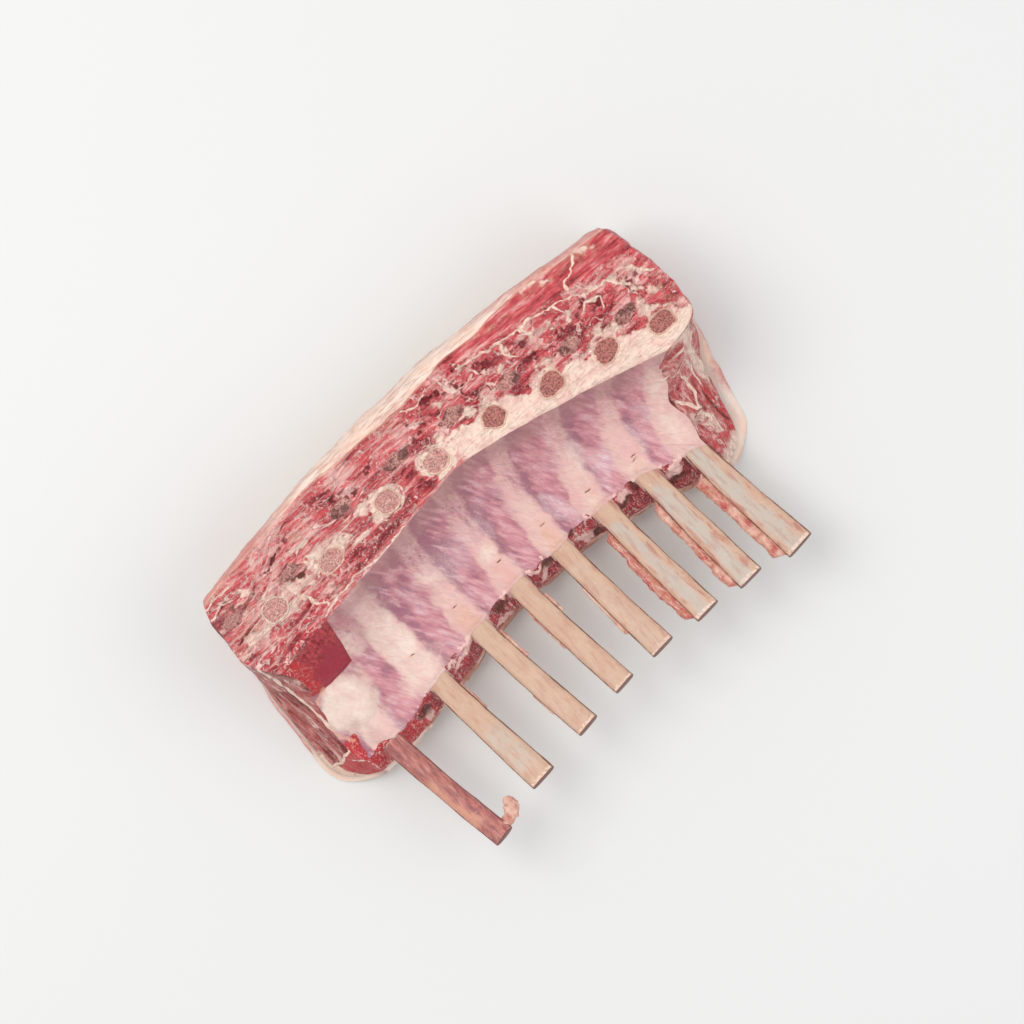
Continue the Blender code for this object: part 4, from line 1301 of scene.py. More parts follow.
class RACK_OT_inner_side(Operator):
    """Makes the inner side of the rib cage and the cut between the ribs."""

    bl_idname = "rack.inner_side"
    bl_label = "Inner side"

    def execute(self, context):
        sizes = context.scene.rack_sizes
        build_inner_lining(hues_of(context))
        share, across = shares(sizes.columns, sizes.inner_rows)
        x, y, z = settle(share, lambda at: inner_line(at, across))
        points = np.stack([x, y, z], axis=2)
        wx = x + 0.0010 * noise(x, y, 0.0, 0.005, 41, 3)
        wy = y + 0.0010 * noise(x, y, 0.0, 0.004, 42, 3)
        ridge, lip = ridge_y(x), lip_y(x)
        run = ridge - y
        cut = 1.0 - smoothstep((y - lip + 0.0006 + 0.0016 * noise(x, y, 0.0, 0.0028, 7, 3)) / 0.0012)
        near = rib_distance(wx + 0.0008, y)
        wide = 0.0026 + 0.0014 * smoothstep((0.002 - y) / 0.004) + 0.0024 * smoothstep((x - 0.060) / 0.006)
        pale = 1.0 - smoothstep((near - wide - 0.0010 * noise(x, y, 0.0, 0.005, 8, 3)) / 0.0034)
        loin_rib = 1.0 - smoothstep((np.hypot(wx + 0.0515, (wy - 0.006) / 3.2) - 0.0052) / 0.0030)
        loin_rib = np.maximum(
            loin_rib,
            blots(wx, wy, ((-51.5, -9.5, 8.5, 5.5, 0), (-62, 16, 6.5, 6, -30), (-50, 21, 6.5, 6, 0)), 0.8),
        )
        odd_x = x + 0.0013 * noise(x, y, 0.0, 0.009, 15, 2)
        dome = 1.0 - smoothstep((np.hypot((odd_x + 0.0765) / 0.0100, (wy - 0.0005) / 0.0098) - 0.62) / 0.70)
        stem = blots(odd_x, wy, ((-75, -8, 6, 10, 0), (-69.5, 3, 4.5, 6, 0)), 0.9)
        pale = np.maximum(np.maximum(pale, loin_rib), np.maximum(dome, 0.85 * stem))
        cream = np.maximum(
            loin_rib * (0.42 + 0.33 * smoothstep((0.020 - y) / 0.010)), np.maximum(dome, 0.62 * stem)
        )
        cream = np.maximum(
            cream,
            0.55 * blots(
                wx,
                wy,
                (
                    (-8, 5, 3.2, 4.5, 0), (-28, 14, 4, 5, 20), (66, -8, 3, 8, 0), (36, 8, 2.5, 8, -20),
                    (29, -7, 4, 3, 0), (48, -9, 4, 3, 0), (71, 8, 3.2, 9, -28),
                ),
                0.8,
            ),
        )
        tan, slit = np.zeros(x.shape), np.zeros(x.shape)
        for number, ((sx, sy), rib) in enumerate(zip(SLITS, RIBS[1:], strict=False)):
            below = (
                smoothstep((sy * 0.001 + 0.0005 - wy) / 0.003)
                * (1.0 - smoothstep((near - 0.0016) / 0.0028))
            )
            here = 1.0 - smoothstep((np.abs(wx - sx * 0.001 + 0.5 * (odd_x - x)) - 0.0022) / 0.0034)
            here = here * (0.55 + 0.45 * smoothstep(noise(x, y, float(number), 0.0030, 57, 3) * 2.0 + 0.5))
            tan = np.maximum(tan, below * here * (0.0, 1.0, 0.75, 0.8, 0.45, 0.45)[number])
            slit = np.maximum(
                slit, 0.8 * blots(wx, wy, ((sx, sy, 1.2, 0.26, -8.0 if number != 0 else -14.0),), 0.7)
            )
        slit = np.maximum(slit, 0.6 * blots(wx, wy, ((49, -6.6, 1.5, 0.2, -4),), 0.6))
        lipped = blots(x, y, tuple((sx, sy, 2.6, 1.1, -8) for sx, sy in SLITS), 0.9)
        dia = diaphragm(x, y)
        inside = smoothstep((dia + 0.0003) / 0.0006)
        left_edge = 1.0 - smoothstep((x + 0.0872 + 0.0012 * noise(0.0, y, 0.0, 0.006, 43, 2)) / 0.0022)
        smooth = smoothstep(
            (x + 0.0790 + 0.003 * noise(x, y, 0.0, 0.006, 44, 2) + 0.12 * (0.020 - y)) / 0.004
        )
        between = smoothstep((rib_distance(x, y) - 0.0038) / 0.0012)
        # Below a rib the cut shows meat again.
        between = np.maximum(
            between, smoothstep((crest_z(x, y) - MEMBRANE - RIB_THICKNESS - 0.0006 - z) / 0.0014)
        )
        mottle = noise(x * 1.5, y * 0.5, 0.0, 0.0030, 6, 4)
        grooves = threads(x * 2.2, y * 0.35, 0.0, 0.0024, 4, 3)
        phase = np.zeros(x.shape)
        for first, second in zip(RIBS, RIBS[1:], strict=False):
            a, b = rib_x(first, y), rib_x(second, y)
            phase = np.where((x >= a) & (x < b), (x - a) / (b - a), phase)
        turned = x * 0.88 + y * 0.47 + 0.0012 * noise(x, y, 0.0, 0.010, 9, 2)
        streaks = noise((x * 0.47 - y * 0.88) * 0.24, turned, 0.0, 0.0011, 45, 3)
        patches = noise(x * 1.2, y * 0.8, 0.0, 0.009, 46, 2)
        # Painted shade: darker on the side of each gap next to the rib on its left, which turns from the
        # light, and on the steep wall near the ridge. The patches and streaks are the muscle's own.
        shade = 0.32 + 0.66 * smoothstep((0.48 - phase) / 0.22) + 0.45 * patches + 0.95 * streaks
        shade = (
            shade
            + 0.30 * smoothstep((0.012 - run) / 0.008)
            - 0.25 * smoothstep((0.002 - y) / 0.01) * smoothstep((phase - 0.3) / 0.2)
        )
        shade = shade - 0.30 * smoothstep((x - 0.010) / 0.060)
        haze = (
            smoothstep(noise(x * 1.2 + 0.3 * y, y * 0.7, 0.0, 0.008, 47, 3) * 1.5 + 0.25)
            * smoothstep((run - 0.008) / 0.010)
        )
        haze = (
            haze * (0.40 + 0.30 * smoothstep((x + 0.01) / 0.05))
            + 0.45 * smoothstep(-streaks * 2.6 - 0.5)
        )
        haze = haze + 0.5 * blots(x, y, ((-77, -12, 4, 6, 0), (-72, -14, 3, 5, 0)), 0.8)
        torn = cut * np.maximum(between, smoothstep((-0.060 - x) / 0.003))
        corner = (
            smoothstep((-0.0825 - wx + 0.25 * (wy + 0.012)) / 0.0020)
            * smoothstep((-0.0060 - wy) / 0.0030)
        )
        torn = np.maximum(torn, 0.9 * corner)
        loin_cut = torn * smoothstep((-0.054 - x) / 0.004)
        shaded_pits = blots(
            wx + 0.0012 * noise(x, y, 0.0, 0.0018, 53, 2),
            wy + 0.0008 * noise(x, y, 0.0, 0.0018, 54, 2),
            SHADED_PITS,
            0.8,
        )
        froth = smoothstep(
            (0.0017 - np.abs(y - lip + 0.0004 + 0.0022 * noise(x, y, 0.0, 0.0022, 48, 3))) / 0.0012
        ) * between
        froth = froth * smoothstep(noise(x, y, 0.0, 0.0030, 14, 2) * 2.0 + 0.4)
        orange = strokes(wx, wy, (((-84.5, -10), (-87.5, -4), (-87.6, 3), (-84, 8.6), (-79, 9.8)),), 0.0007)
        masks = {
            "pale": (
                pale * (1 - inside) * (0.62 + 0.38 * smoothstep((0.016 - y) / 0.014))
                - 0.22 * smoothstep(-streaks * 2.0) * (1 - cream)
                - 0.20 * smoothstep(mottle * 2.0) * (1 - 0.5 * cream)
            ),
            "cream": cream * (1 - inside) * (0.95 - 0.20 * smoothstep(mottle * 2.2)),
            "tan": tan * (1 - cut) * 0.9,
            # Painted shade on the steep wall near the ridge, plus a few patches of greyish tissue.
            "grey": (
                (
                    (0.55 + 0.35 * smoothstep(noise(x * 1.4, y, 0.0, 0.0060, 56, 3) * 2.0 + 0.4))
                    * smoothstep((0.0085 - run) / 0.006)
                    * smoothstep((x + 0.064) / 0.004)
                    * (1 - 0.5 * cream)
                )
                + 0.55 * blots(
                    wx, wy, ((-77.5, -13, 2.6, 5, 0), (-80, -6, 3, 2, 20), (-56.5, 15, 2.4, 5, -10)), 0.9
                )
            ),
            "shade": shade,
            "haze": np.clip(haze, 0, 1) * (1 - inside),
            "dark": np.maximum(torn, inside * (1 - left_edge)),
            "smooth": (
                inside
                * smooth
                * (1 - cut)
                * smoothstep((run - 0.0040 + 0.003 * noise(x, y, 0.0, 0.003, 49, 2)) / 0.003)
            ),
            "bright": (
                np.maximum(
                    left_edge * (1 - cut) * smoothstep((y - 0.004) / 0.006), 0.8 * loin_cut * (1 - shaded_pits)
                )
                + 0.75 * inside * (1 - smooth)
            ),
            "marble": (
                np.maximum(inside * (1 - smooth) * 0.3, torn * 0.35)
                + 0.2 * inside * smoothstep((0.004 - run) / 0.003)
            ),
            "seam": np.maximum(
                np.maximum(0.9 * blots(wx, wy, FASCIA, 0.8), 0.65 * grooves**2) * torn,
                1.0 * froth * smoothstep((x + 0.055) / 0.004),
            ),
            "rim": np.maximum(
                0.8 * torn * smoothstep((0.0018 - (y - front_y(x))) / 0.0012),
                0.8 * np.maximum(orange, 0.6 * lipped),
            ),
            # Dark slits, and painted shade in the hollows of the cut between the ribs.
            "scorch": np.maximum(
                slit,
                (
                    0.80
                    * torn
                    * np.maximum(
                        shaded_pits, 0.7 * smoothstep(noise(x * 2.2, y * 0.5, z * 0.5, 0.0030, 55, 3) * 2.4 - 0.8)
                    )
                ),
            ),
        }
        relief = 0.00016 * streaks * (1 - pale)
        relief += (
            sizes.cut_relief
            * 1.5
            * noise(x * 1.5, y * 0.6, z, 0.0022, 50, 3)
            * np.maximum(torn, inside * (1 - smooth) * 0.5)
        )
        relief += (
            0.00030 * noise(x, y, 0.0, 0.009, 51, 2)
            - 0.0007 * slit
            + 0.00025 * lipped
            + 0.0005 * froth
        )
        relief += (
            0.00022 * threads(x + y, y * 0.4, 0.0, 0.006, 52, 2) * pale * (1 - cut)
            - 0.0009 * torn * shaded_pits
        )
        points = raised(points, relief, 0.0012)
        made = mesh_of("inner_side", points, grid_faces(*x.shape), masks)
        finish_piece(made, "inner lining")
        return {"FINISHED"}


def end_grid(side, sizes):
    """The points of a cut end: columns follow the upper outline to the back, rows go down to the fat."""
    upper = np.linspace(0, 1, sizes.inner_rows)
    face = np.linspace(0, 1, sizes.face_rows)
    share = 0.0 if side < 0 else 1.0
    top_inner = settle(share + 0.0 * upper, lambda at: inner_line(at, upper))
    top_face = settle(share + 0.0 * face, lambda at: face_line(at, face))
    top = [np.concatenate([a, b[1:]]) for a, b in zip(top_inner, top_face, strict=True)]
    under = np.linspace(0, 1, sizes.inner_rows + sizes.face_rows - 1)
    seam = settle(share + 0.0 * under, lambda at: fat_seam(at, under))
    down = np.linspace(0, 1, sizes.end_rows)[None, :]
    y = top[1][:, None] * (1 - down) + seam[1][:, None] * down
    z = top[2][:, None] * (1 - down) + seam[2][:, None] * down
    x = end_x(side, y, z)
    x[:, 0] = top[0]
    x[:, -1] = seam[0]
    return np.stack([x, y, z], axis=2)


# Silvery sheaths and dark slits in the loin end.
LOIN_SHEATHS = (
    ((-97.5, -11.2), (-92.5, -12.2), (-88, -11), (-86.5, -8.5), (-87.2, 4), (-88.2, 20), (-89.5, 38)),
    ((-86.5, -9), (-84, -14), (-80, -20)),
)
LOIN_LINES = (((-90.2, 56), (-90.5, 40), (-89.8, 28)), ((-98.5, 5), (-98.2, -8)), ((-88.6, 28), (-88, 8)))


class RACK_OT_loin_end(Operator):
    """Makes the cut end at the loin side."""

    bl_idname = "rack.loin_end"
    bl_label = "Loin end"

    def execute(self, context):
        sizes = context.scene.rack_sizes
        build_cut_meat("aired meat", hues_of(context), 84.0, 0.75)
        points = end_grid(-1, sizes)
        x, y, z = xyz(points)
        wx = x + 0.0007 * noise(x, y, z, 0.004, 51, 2)
        wy = y + 0.0010 * noise(x, y, z, 0.004, 52, 2)
        sheath = strokes(wx, wy, LOIN_SHEATHS, 0.00055)
        lower = smoothstep((-0.0112 - wy) / 0.0012)
        rim = 1.0 - smoothstep((z - 0.0052 - 0.0016 * lower) / 0.0012)
        rim = rim * (1 - smoothstep((y + 0.007) / 0.005))
        streak = threads(x * 2.0, y * 0.30, z * 0.8, 0.0026, 53, 3)
        broken = smoothstep(noise(x, y * 0.5, z, 0.005, 57, 2) * 2.0 + 0.3)
        bundles = noise(x * 1.6, y * 0.30, z, 0.0024, 55, 3)
        masks = {
            "tone": 0.45 + 0.5 * bundles + 0.2 * noise(x, y, z, 0.012, 58, 2) + 0.1 * lower,
            "fat": np.maximum(0.85 * rim, 0.8 * lower * blots(wx, wy, ((-86, -17.2, 5.0, 0.6, -38),), 0.6)),
            "seam": sheath,
            "sinew": streak * broken * (1 - lower) + 0.4 * lower * streak**2,
            "dark": 0.75 * smoothstep(noise(x, y * 0.4, z, 0.004, 54, 2) * 2.0 - 0.3) * (1 - lower),
            "bright": lower * 0.9 + 0.4 * blots(wx, wy, ((-86.5, 12, 1.8, 13, 0),), 0.6),
            "marble": 0.12,
            "stripe": 0.6 - 0.3 * lower,
            "brown": 0.35 * smoothstep(noise(x, y, z, 0.008, 59, 2) * 1.6) * (1 - lower),
            "rim": 0.5 * rim,
            "scorch": 0.7 * strokes(wx, wy, LOIN_LINES, 0.0005),
        }
        relief = (
            sizes.end_relief * bundles * (1 - 0.5 * rim)
            + 0.0005 * noise(x, y, z, 0.012, 56, 2)
            + 0.0004 * sheath
        )
        points = raised(points, relief, 0.0016, -1)
        made = mesh_of("loin_end", points, grid_faces(*x.shape, flip=True), masks)
        finish_piece(made, "aired meat")
        return {"FINISHED"}


# White seams and dark slits in the shoulder end.
SHOULDER_SEAMS = (
    ((74.2, 6.2), (79, 5.2), (84, 7)), (
        (72.8, -2), (75.5, -7), (77.8, -9.5)
    ), ((86.2, 11), (84.2, 3), (83.5, -4)),
    ((80, 4), (79, -4), (76.5, -8)), ((76, -10), (79, -14), (78, -20)),
)
SHOULDER_LINES = (
    ((80, 12), (75, 7), (72.2, 0), (70.8, -10), (71.2, -20), (72, -28)), ((82.2, -6), (82.6, -19)),
)


class RACK_OT_shoulder_end(Operator):
    """Makes the cut end at the shoulder side."""

    bl_idname = "rack.shoulder_end"
    bl_label = "Shoulder end"

    def execute(self, context):
        sizes = context.scene.rack_sizes
        build_cut_meat("shoulder meat", hues_of(context), 70.0, 0.30)
        points = end_grid(1, sizes)
        x, y, z = xyz(points)
        wx = x + 0.0008 * noise(x, y, z, 0.004, 61, 2)
        wy = y + 0.0010 * noise(x, y, z, 0.004, 62, 2)
        eye = blots(wx, wy, ((77.5, -3, 5.4, 7.5, -15),), 0.3)
        top = blots(wx, wy, ((80.5, 9, 6.2, 3.4, 10),), 0.3)
        cap = blots(wx, wy, ((80, -29.5, 11.0, 6.0, 14), (87.8, -16, 2.4, 12, -8)), 0.6)
        strip = blots(wx, wy, ((88, 3, 1.8, 9, -12), (90.5, 12, 1.8, 4, -30)), 0.6)
        pale = blots(
            wx, wy, ((77.2, -14, 2.2, 5, 0), (74.5, -10.5, 1.8, 2.4, 0), (80, -24.5, 3, 1.4, 20)), 0.7
        )
        lean = blots(wx, wy, ((83, -12, 2.6, 13, -4), (76.5, -22.5, 5, 2.6, -10)), 0.5)
        bits = blots(
            wx, wy, ((90, -5, 2.2, 4.4, -15), (92.5, 1, 1.2, 4, -10), (95.5, 16, 1.8, 6, -10)), 0.5
        )
        seams = strokes(wx, wy, SHOULDER_SEAMS, 0.00055)
        edge = strokes(wx, wy, SHOULDER_LINES, 0.0005)
        bundles = noise(x, y * 0.45, z, 0.0028, 64, 3)
        streak = threads(x * 1.8, y * 0.35, z * 0.8, 0.0026, 66, 3)
        masks = {
            "tone": 0.55 + 0.5 * bundles + 0.1 * lean,
            "fat": np.maximum(np.maximum(cap, strip * (1 - bits)), 0.58 * pale),
            "seam": seams,
            "sinew": 0.6 * streak**2 * (1 - eye) + 0.25 * streak**2,
            "dark": np.maximum(0.22 * eye, 0.35 * bits),
            "bright": np.maximum(0.9 * lean, 0.3 * top),
            "marble": 0.12 + 0.3 * pale,
            "stripe": 0.5,
            "brown": np.maximum(0.60 * bits, 0.3 * top),
            "rim": 0.75 * cap * smoothstep(noise(x, y, z, 0.005, 63, 2) + 0.2),
            "scorch": 0.75 * edge,
        }
        relief = sizes.end_relief * bundles + 0.0011 * (eye + top) - 0.0006 * edge + 0.0003 * seams
        relief += 0.0006 * noise(x, y, z, 0.012, 65, 2)
        points = raised(points, relief, 0.0016, 1)
        made = mesh_of("shoulder_end", points, grid_faces(*x.shape), masks)
        finish_piece(made, "shoulder meat")
        return {"FINISHED"}


class RACK_OT_fat_cap(Operator):
    """Makes the fat on the outer side, with its skin."""

    bl_idname = "rack.fat_cap"
    bl_label = "Fat cap"

    def execute(self, context):
        sizes = context.scene.rack_sizes
        build_fat_skin(hues_of(context))
        share, across = shares(sizes.fat_columns, sizes.fat_rows)
        x, y, z = settle(share, lambda at: fat_line(at, across))
        sx, sy, sz = settle(share, lambda at: fat_seam(at, across))
        outer = np.stack([x, y, z], axis=2)
        back = back_y(x) - fat_back(x)
        behind = smoothstep((y - back + 0.004) / 0.006) * smoothstep((z - 0.006) / 0.012)
        front = smoothstep((front_y(x) + 0.007 - y) / 0.004)
        folds = noise(x * 0.25, y, z, 0.0016, 71, 3)
        relief = (
            0.00045 * folds * behind
            + 0.0004 * noise(x, y, z, 0.010, 72, 3)
            + 0.0005 * noise(x, y, z, 0.0035, 73, 2) * front
        )
        relief *= edge_fade(outer, 0.0015) * smoothstep((z + 0.0002) / 0.0012)
        outward = -normals_of(outer)
        outer = outer + outward * relief[:, :, None]
        outer[:, :, 2] = np.maximum(outer[:, :, 2], 0.0)
        inner = np.stack([sx, sy, sz], axis=2)
        ring = np.concatenate([outer, inner[:, ::-1][:, 1:-1]], axis=1)
        columns, rows = ring.shape[:2]
        faces = grid_faces(columns, rows, flip=True, closed=True)
        half = sizes.fat_rows
        for base, flip in ((0, False), ((columns - 1) * rows, True)):
            for i in range(half - 1):
                low = base + (rows - i) % rows
                quad = [base + i, base + i + 1, base + (rows - i - 1) % rows, low]
                quad = [p for n, p in enumerate(quad) if p not in quad[:n]]
                faces.append(quad[::-1] if flip else quad)
        ragged = noise(x * 0.3, y, z, 0.006, 74, 3)
        drift = x + 0.016 * noise(x * 0.35, y, z, 0.0060, 77, 3)
        shoulder = smoothstep((drift - 0.026) / 0.052) + smoothstep((-0.028 - drift) / 0.042)
        meat = behind * np.clip(shoulder * (1.0 + 0.6 * ragged), 0, 1)
        # Bare meat shows at both ends, and cream fat only along the lower corners.
        loin_side = smoothstep((-0.0900 - x) / 0.003) * smoothstep((y + 0.010 + 0.004 * ragged) / 0.006)
        bits = blots(
            x + 0.0015 * ragged, y, ((92, -7, 3, 6, -15), (96, 12, 2.6, 9, -8), (97, 30, 3, 9, 0)), 0.9
        )
        meat = np.maximum(meat, np.maximum(loin_side, bits))
        under = smoothstep((0.004 - z) / 0.004)
        meat = np.maximum(meat, 0.5 * under * smoothstep(noise(x, y, z, 0.022, 75, 3) * 2.2 - 0.9))
        masks = {
            "streak": behind * (0.55 + 0.3 * ragged),
            "meat": 0.95 * meat,
            "rim": np.maximum(0.7 * front * smoothstep(noise(x, y, z, 0.007, 76, 2) + 0.4), 0.2 * behind),
            "fringe": (
                front
                * (0.50 + 0.45 * smoothstep(noise(x, y, z, 0.0050, 78, 3) * 2.2 + 0.4))
                * smoothstep((drift + 0.076) / 0.014)
                * (1 - smoothstep((drift - 0.058) / 0.014))
            ),
        }
        # The seam side of the cap is hidden and stays plain.
        plain = np.zeros((columns, rows - half))
        masks = {mask: np.concatenate([values, plain], axis=1) for mask, values in masks.items()}
        made = mesh_of("fat_skin", ring, faces, masks)
        finish_piece(made, "fat skin", ("fat_cap",))
        return {"FINISHED"}


# How far out each ring of a rib's sawn end lies, from its middle.
CAP_SHARES = (0.0, 0.25, 0.45, 0.62, 0.74, 0.82, 0.88, 0.93, 0.97)


def rib_path(rib, steps):
    """Middle points along a rib with their directions and a share for how close each is to the head."""
    head_y, tip_y = rib[3], rib[6]
    head = np.array([float(rib_x(rib, head_y)), head_y, float(face_z(head_y))])
    turn_y = float(ridge_y(np.array(head[0]))) - TURN_BEFORE_RIDGE
    y = np.linspace(tip_y, turn_y, steps)
    x = rib_x(rib, y)
    slope = crest_slope(x, y)
    up = unit(np.stack([0 * y, -slope, 1 + 0 * y], axis=1))
    depth = MEMBRANE + RIB_THICKNESS / 2 + NECK_DEPTH * smoothstep((y - turn_y + 0.014) / 0.014)
    middles = np.stack([x, y, crest_z(x, y)], axis=1) - up * depth[:, None]
    start, leaving = middles[-1], middles[-1] - middles[-2]
    leaving = leaving / np.linalg.norm(leaving)
    arriving = FACE_UP
    pull = np.linalg.norm(head - start)
    t = np.linspace(0, 1, steps // 3)[1:, None]
    curve = start * (2 * t**3 - 3 * t**2 + 1) + leaving * (pull * (t**3 - 2 * t**2 + t))
    curve = curve + head * (3 * t**2 - 2 * t**3) + arriving * (pull * (t**3 - t**2))
    middles = np.concatenate([middles, curve])
    late = np.concatenate([np.zeros(steps), t[:, 0]])
    along = unit(np.gradient(middles, axis=0))
    along[-1] = arriving
    return middles, along, smoothstep(late)


class RACK_OT_ribs(Operator):
    """Makes the eight rib bones, each from its cleaned tip to its sawn head."""

    bl_idname = "rack.ribs"
    bl_label = "Ribs"

    def execute(self, context):
        sizes = context.scene.rack_sizes
        build_bone(hues_of(context))
        for number, rib in enumerate(RIBS, start=1):
            self.rib(number, rib, sizes)
        return {"FINISHED"}

    def rib(self, number, rib, sizes):
        """One rib bone."""
        sides = 36
        middles, along, late = rib_path(rib, 130)
        across = unit(X_AXIS - along * along[:, :1])
        up = np.cross(across, along)
        y = middles[:, 1]
        width = rib_width(rib, y) + (HEAD_WIDTH - ROOT_WIDTH) * late
        width = width * (1 + 0.035 * noise(y, float(number), 0.0, 0.011, 81, 2) * (1 - late))
        thick = RIB_THICKNESS + (HEAD_THICKNESS - RIB_THICKNESS) * late
        thick = thick * (1 + 0.06 * noise(y, float(number), 3.0, 0.013, 82, 2) * (1 - late))
        angle = 2 * np.pi * (np.arange(sides) + 0.5) / sides
        square = 4.2 - 1.9 * late[:, None]
        if number == 1:
            square = square - 1.9 * (1 - late[:, None])
        c, s = np.cos(angle)[None, :], np.sin(angle)[None, :]
        reach = (np.abs(c) ** square + np.abs(s) ** square) ** (-1.0 / square)
        flat = np.stack([c * reach * width[:, None] / 2, s * reach * thick[:, None] / 2], axis=2)
        rings = middles[:, None] + across[:, None] * flat[:, :, :1] + up[:, None] * flat[:, :, 1:]
        odd = (
            (0.18 if number < 5 else 0.26)
            * noise(
                np.cos(angle) * 0.004, np.sin(angle) * 0.004, float(number), 0.0038, 84, 3
            )[None, :, None]
        )
        rings = middles[:, None] + (rings - middles[:, None]) * (1.0 + odd * late[:, None, None])
        rough = noise(rings[:, :, 0], rings[:, :, 1] * 0.6, rings[:, :, 2], 0.0045, 83 + number, 3)
        out = unit(rings - middles[:, None])
        rings = rings + out * (sizes.bone_relief * rough * (1 - late[:, None]))[:, :, None]
        tip, head = rings[0] - middles[0], rings[-1] - middles[-1]
        tip_caps = [middles[0] + tip * k - along[0] * 0.0003 * math.sqrt(1 - k**4) for k in CAP_SHARES]
        head_caps = [middles[-1] + head * k + along[-1] * 0.00025 for k in reversed(CAP_SHARES)]
        points = np.stack([*tip_caps, *rings, *head_caps])
        count = len(points)
        extra = len(tip_caps)
        row_x, row_y, row_width = (
            np.pad(row, extra, mode="edge")[:, None]
            for row in (middles[:, 0], y, width)
        )
        row_y = row_y + np.zeros((1, sides))
        side = (points[:, :, 0] - row_x) / (row_width / 2)
        out_share = np.clip((ROOT_Y - row_y) / (ROOT_Y - rib[6]), 0, 1)
        order = np.arange(count)[:, None] + np.zeros((1, sides))
        tip = (order < extra).astype(float)
        reach_in = np.array(CAP_SHARES)
        core = (
            np.concatenate([reach_in, np.ones(len(rings)), reach_in[::-1]])[:, None]
            + np.zeros((1, sides))
        )
        headed = (order >= count - extra).astype(float)
        grainy = noise(points[:, :, 0], points[:, :, 1] * 0.4, points[:, :, 2], 0.0035, 95 + number, 3)
        shoulder = smoothstep((number - 4.5) / 1.5)
        bare = (
            0.88
            * shoulder
            * (1 - smoothstep((np.abs(side + 0.15 + 0.5 * grainy) - 0.30) / 0.5))
            * smoothstep(out_share / 0.1)
        )
        if number == 2:
            bare = (
                bare
                + (
                    0.5
                    * smoothstep((out_share - 0.45) / 0.1)
                    * (1 - smoothstep((out_share - 0.85) / 0.1))
                    * (1 - smoothstep((np.abs(side) - 0.6) / 0.3))
                )
            )
        edges = smoothstep((np.abs(side) - 0.86) / 0.10) * (0.60 + 0.45 * smoothstep(grainy * 2 + 0.1))
        warm = 0.8 * (number == 1) * smoothstep((0.05 - side + 0.7 * grainy) / 0.7)
        warm = warm * smoothstep((out_share - 0.34) / 0.14) * smoothstep((0.90 - out_share) / 0.08)
        pith = (tip + headed) * (1 - smoothstep((core - 0.86) / 0.08))
        gaps = smoothstep(noise(points[:, :, 0], points[:, :, 1], 0.0, 0.0026, 5, 2) * 2.0 + 0.6)
        ringed = headed * smoothstep((core - 0.84) / 0.08) * (0.35 + 0.65 * gaps)
        rim = smoothstep((out_share - 0.991) / 0.004) * (1 - tip) * (number > 1)
        masks = {
            "bare": np.maximum(bare, 0.9 * (number == 1) * smoothstep((0.10 - out_share) / 0.05)),
            "trace": np.clip(
                0.40 + 0.60 * shoulder * smoothstep((np.abs(side + 0.1) - 0.25) / 0.4), 0, 1
            ) * (1 - headed),
            "stain": (
                (
                    0.95 * (number == 1) * smoothstep((out_share - 0.03) / 0.06)
                    + 0.15 * smoothstep(grainy * 3 - 1.2)
                )
            ) * (1 - headed),
            "warm": warm * (1 - headed),
            "pith": pith,
            "ring": np.maximum(ringed * (0.55 if number < 5 else 0.42), 0.50 * rim),
            "deep": pith * headed * (0.38 if number < 5 else 0.80),
            "scorch": np.maximum(
                edges * smoothstep(out_share / 0.03) * (1 - tip) * (1 - headed), 0.8 * tip
            ),
        }
        made = mesh_of(f"bone_{number}", points, grid_faces(count, sides, closed=True), masks)
        finish_piece(made, "rib bone", (f"rib_{number}",))


# Rings of a stump, from the middle of its top down its side: share of its outline, and height in millimetres.
STUMP_RINGS = (
    (0.0, 0.05), (
        0.25, 0.08
    ), (0.5, 0.05), (0.7, 0.12), (0.85, 0.14), (0.95, 0.12), (1.0, -0.1), (0.9, -3.0),
    (0.8, -5.0),
)


class RACK_OT_stumps(Operator):
    """Makes the cut stumps of the vertebrae in the sawn face."""

    bl_idname = "rack.stumps"
    bl_label = "Vertebra stumps"

    def execute(self, context):
        build_sponge(hues_of(context))
        sides = 40
        angle = 2 * np.pi * np.arange(sides) / sides
        for number, (x, y, half, thick) in enumerate(stump_places(), start=1):
            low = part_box(f"process_{number}")[0]
            top = np.array([x, y, float(face_z(y))])
            rings = []
            core = []
            wave = (
                1
                + 0.42 * noise(np.cos(angle) * 0.004 + x, np.sin(angle) * 0.004 + y, 0.0, 0.0026, 101, 3)
            )
            for scale, height in STUMP_RINGS:
                flat = np.stack(
                    [np.cos(angle) * half * scale * wave, np.sin(angle) * thick * scale * wave], axis=1
                )
                depth = max(height * 0.001, low[2] + 0.0004 - top[2])
                ring = top + flat[:, :1] * X_AXIS + flat[:, 1:] * FACE_ACROSS + FACE_UP * depth
                rings.append(ring)
                core.append(np.full(sides, scale if height >= 0 else 1.0))
            points = np.stack(rings)
            core = np.stack(core)
            points[:, :, 2] += (
                0.00015
                * noise(points[:, :, 0], points[:, :, 1], 0.0, 0.0012, 102, 2)
                * (core < 0.9)
            )
            masks = {
                "dark": 0.80 * smoothstep(
                    noise(points[:, :, 0], points[:, :, 1], 0.0, 0.004, 103, 2) + 0.45
                ),
                "ring": smoothstep((core - 0.84) / 0.14) * 0.6,
            }
            made = mesh_of(
                f"stump_{number}", points, grid_faces(*points.shape[:2], flip=True, closed=True), masks
            )
            finish_piece(made, "sawn stump", (f"process_{number}",))
        return {"FINISHED"}


def with_points(middles, points):
    """A strip's rings with both ends drawn to a point."""
    return np.concatenate(
        [middles[:1, None] + 0 * points[:1], points, middles[-1:, None] + 0 * points[-1:]]
    )


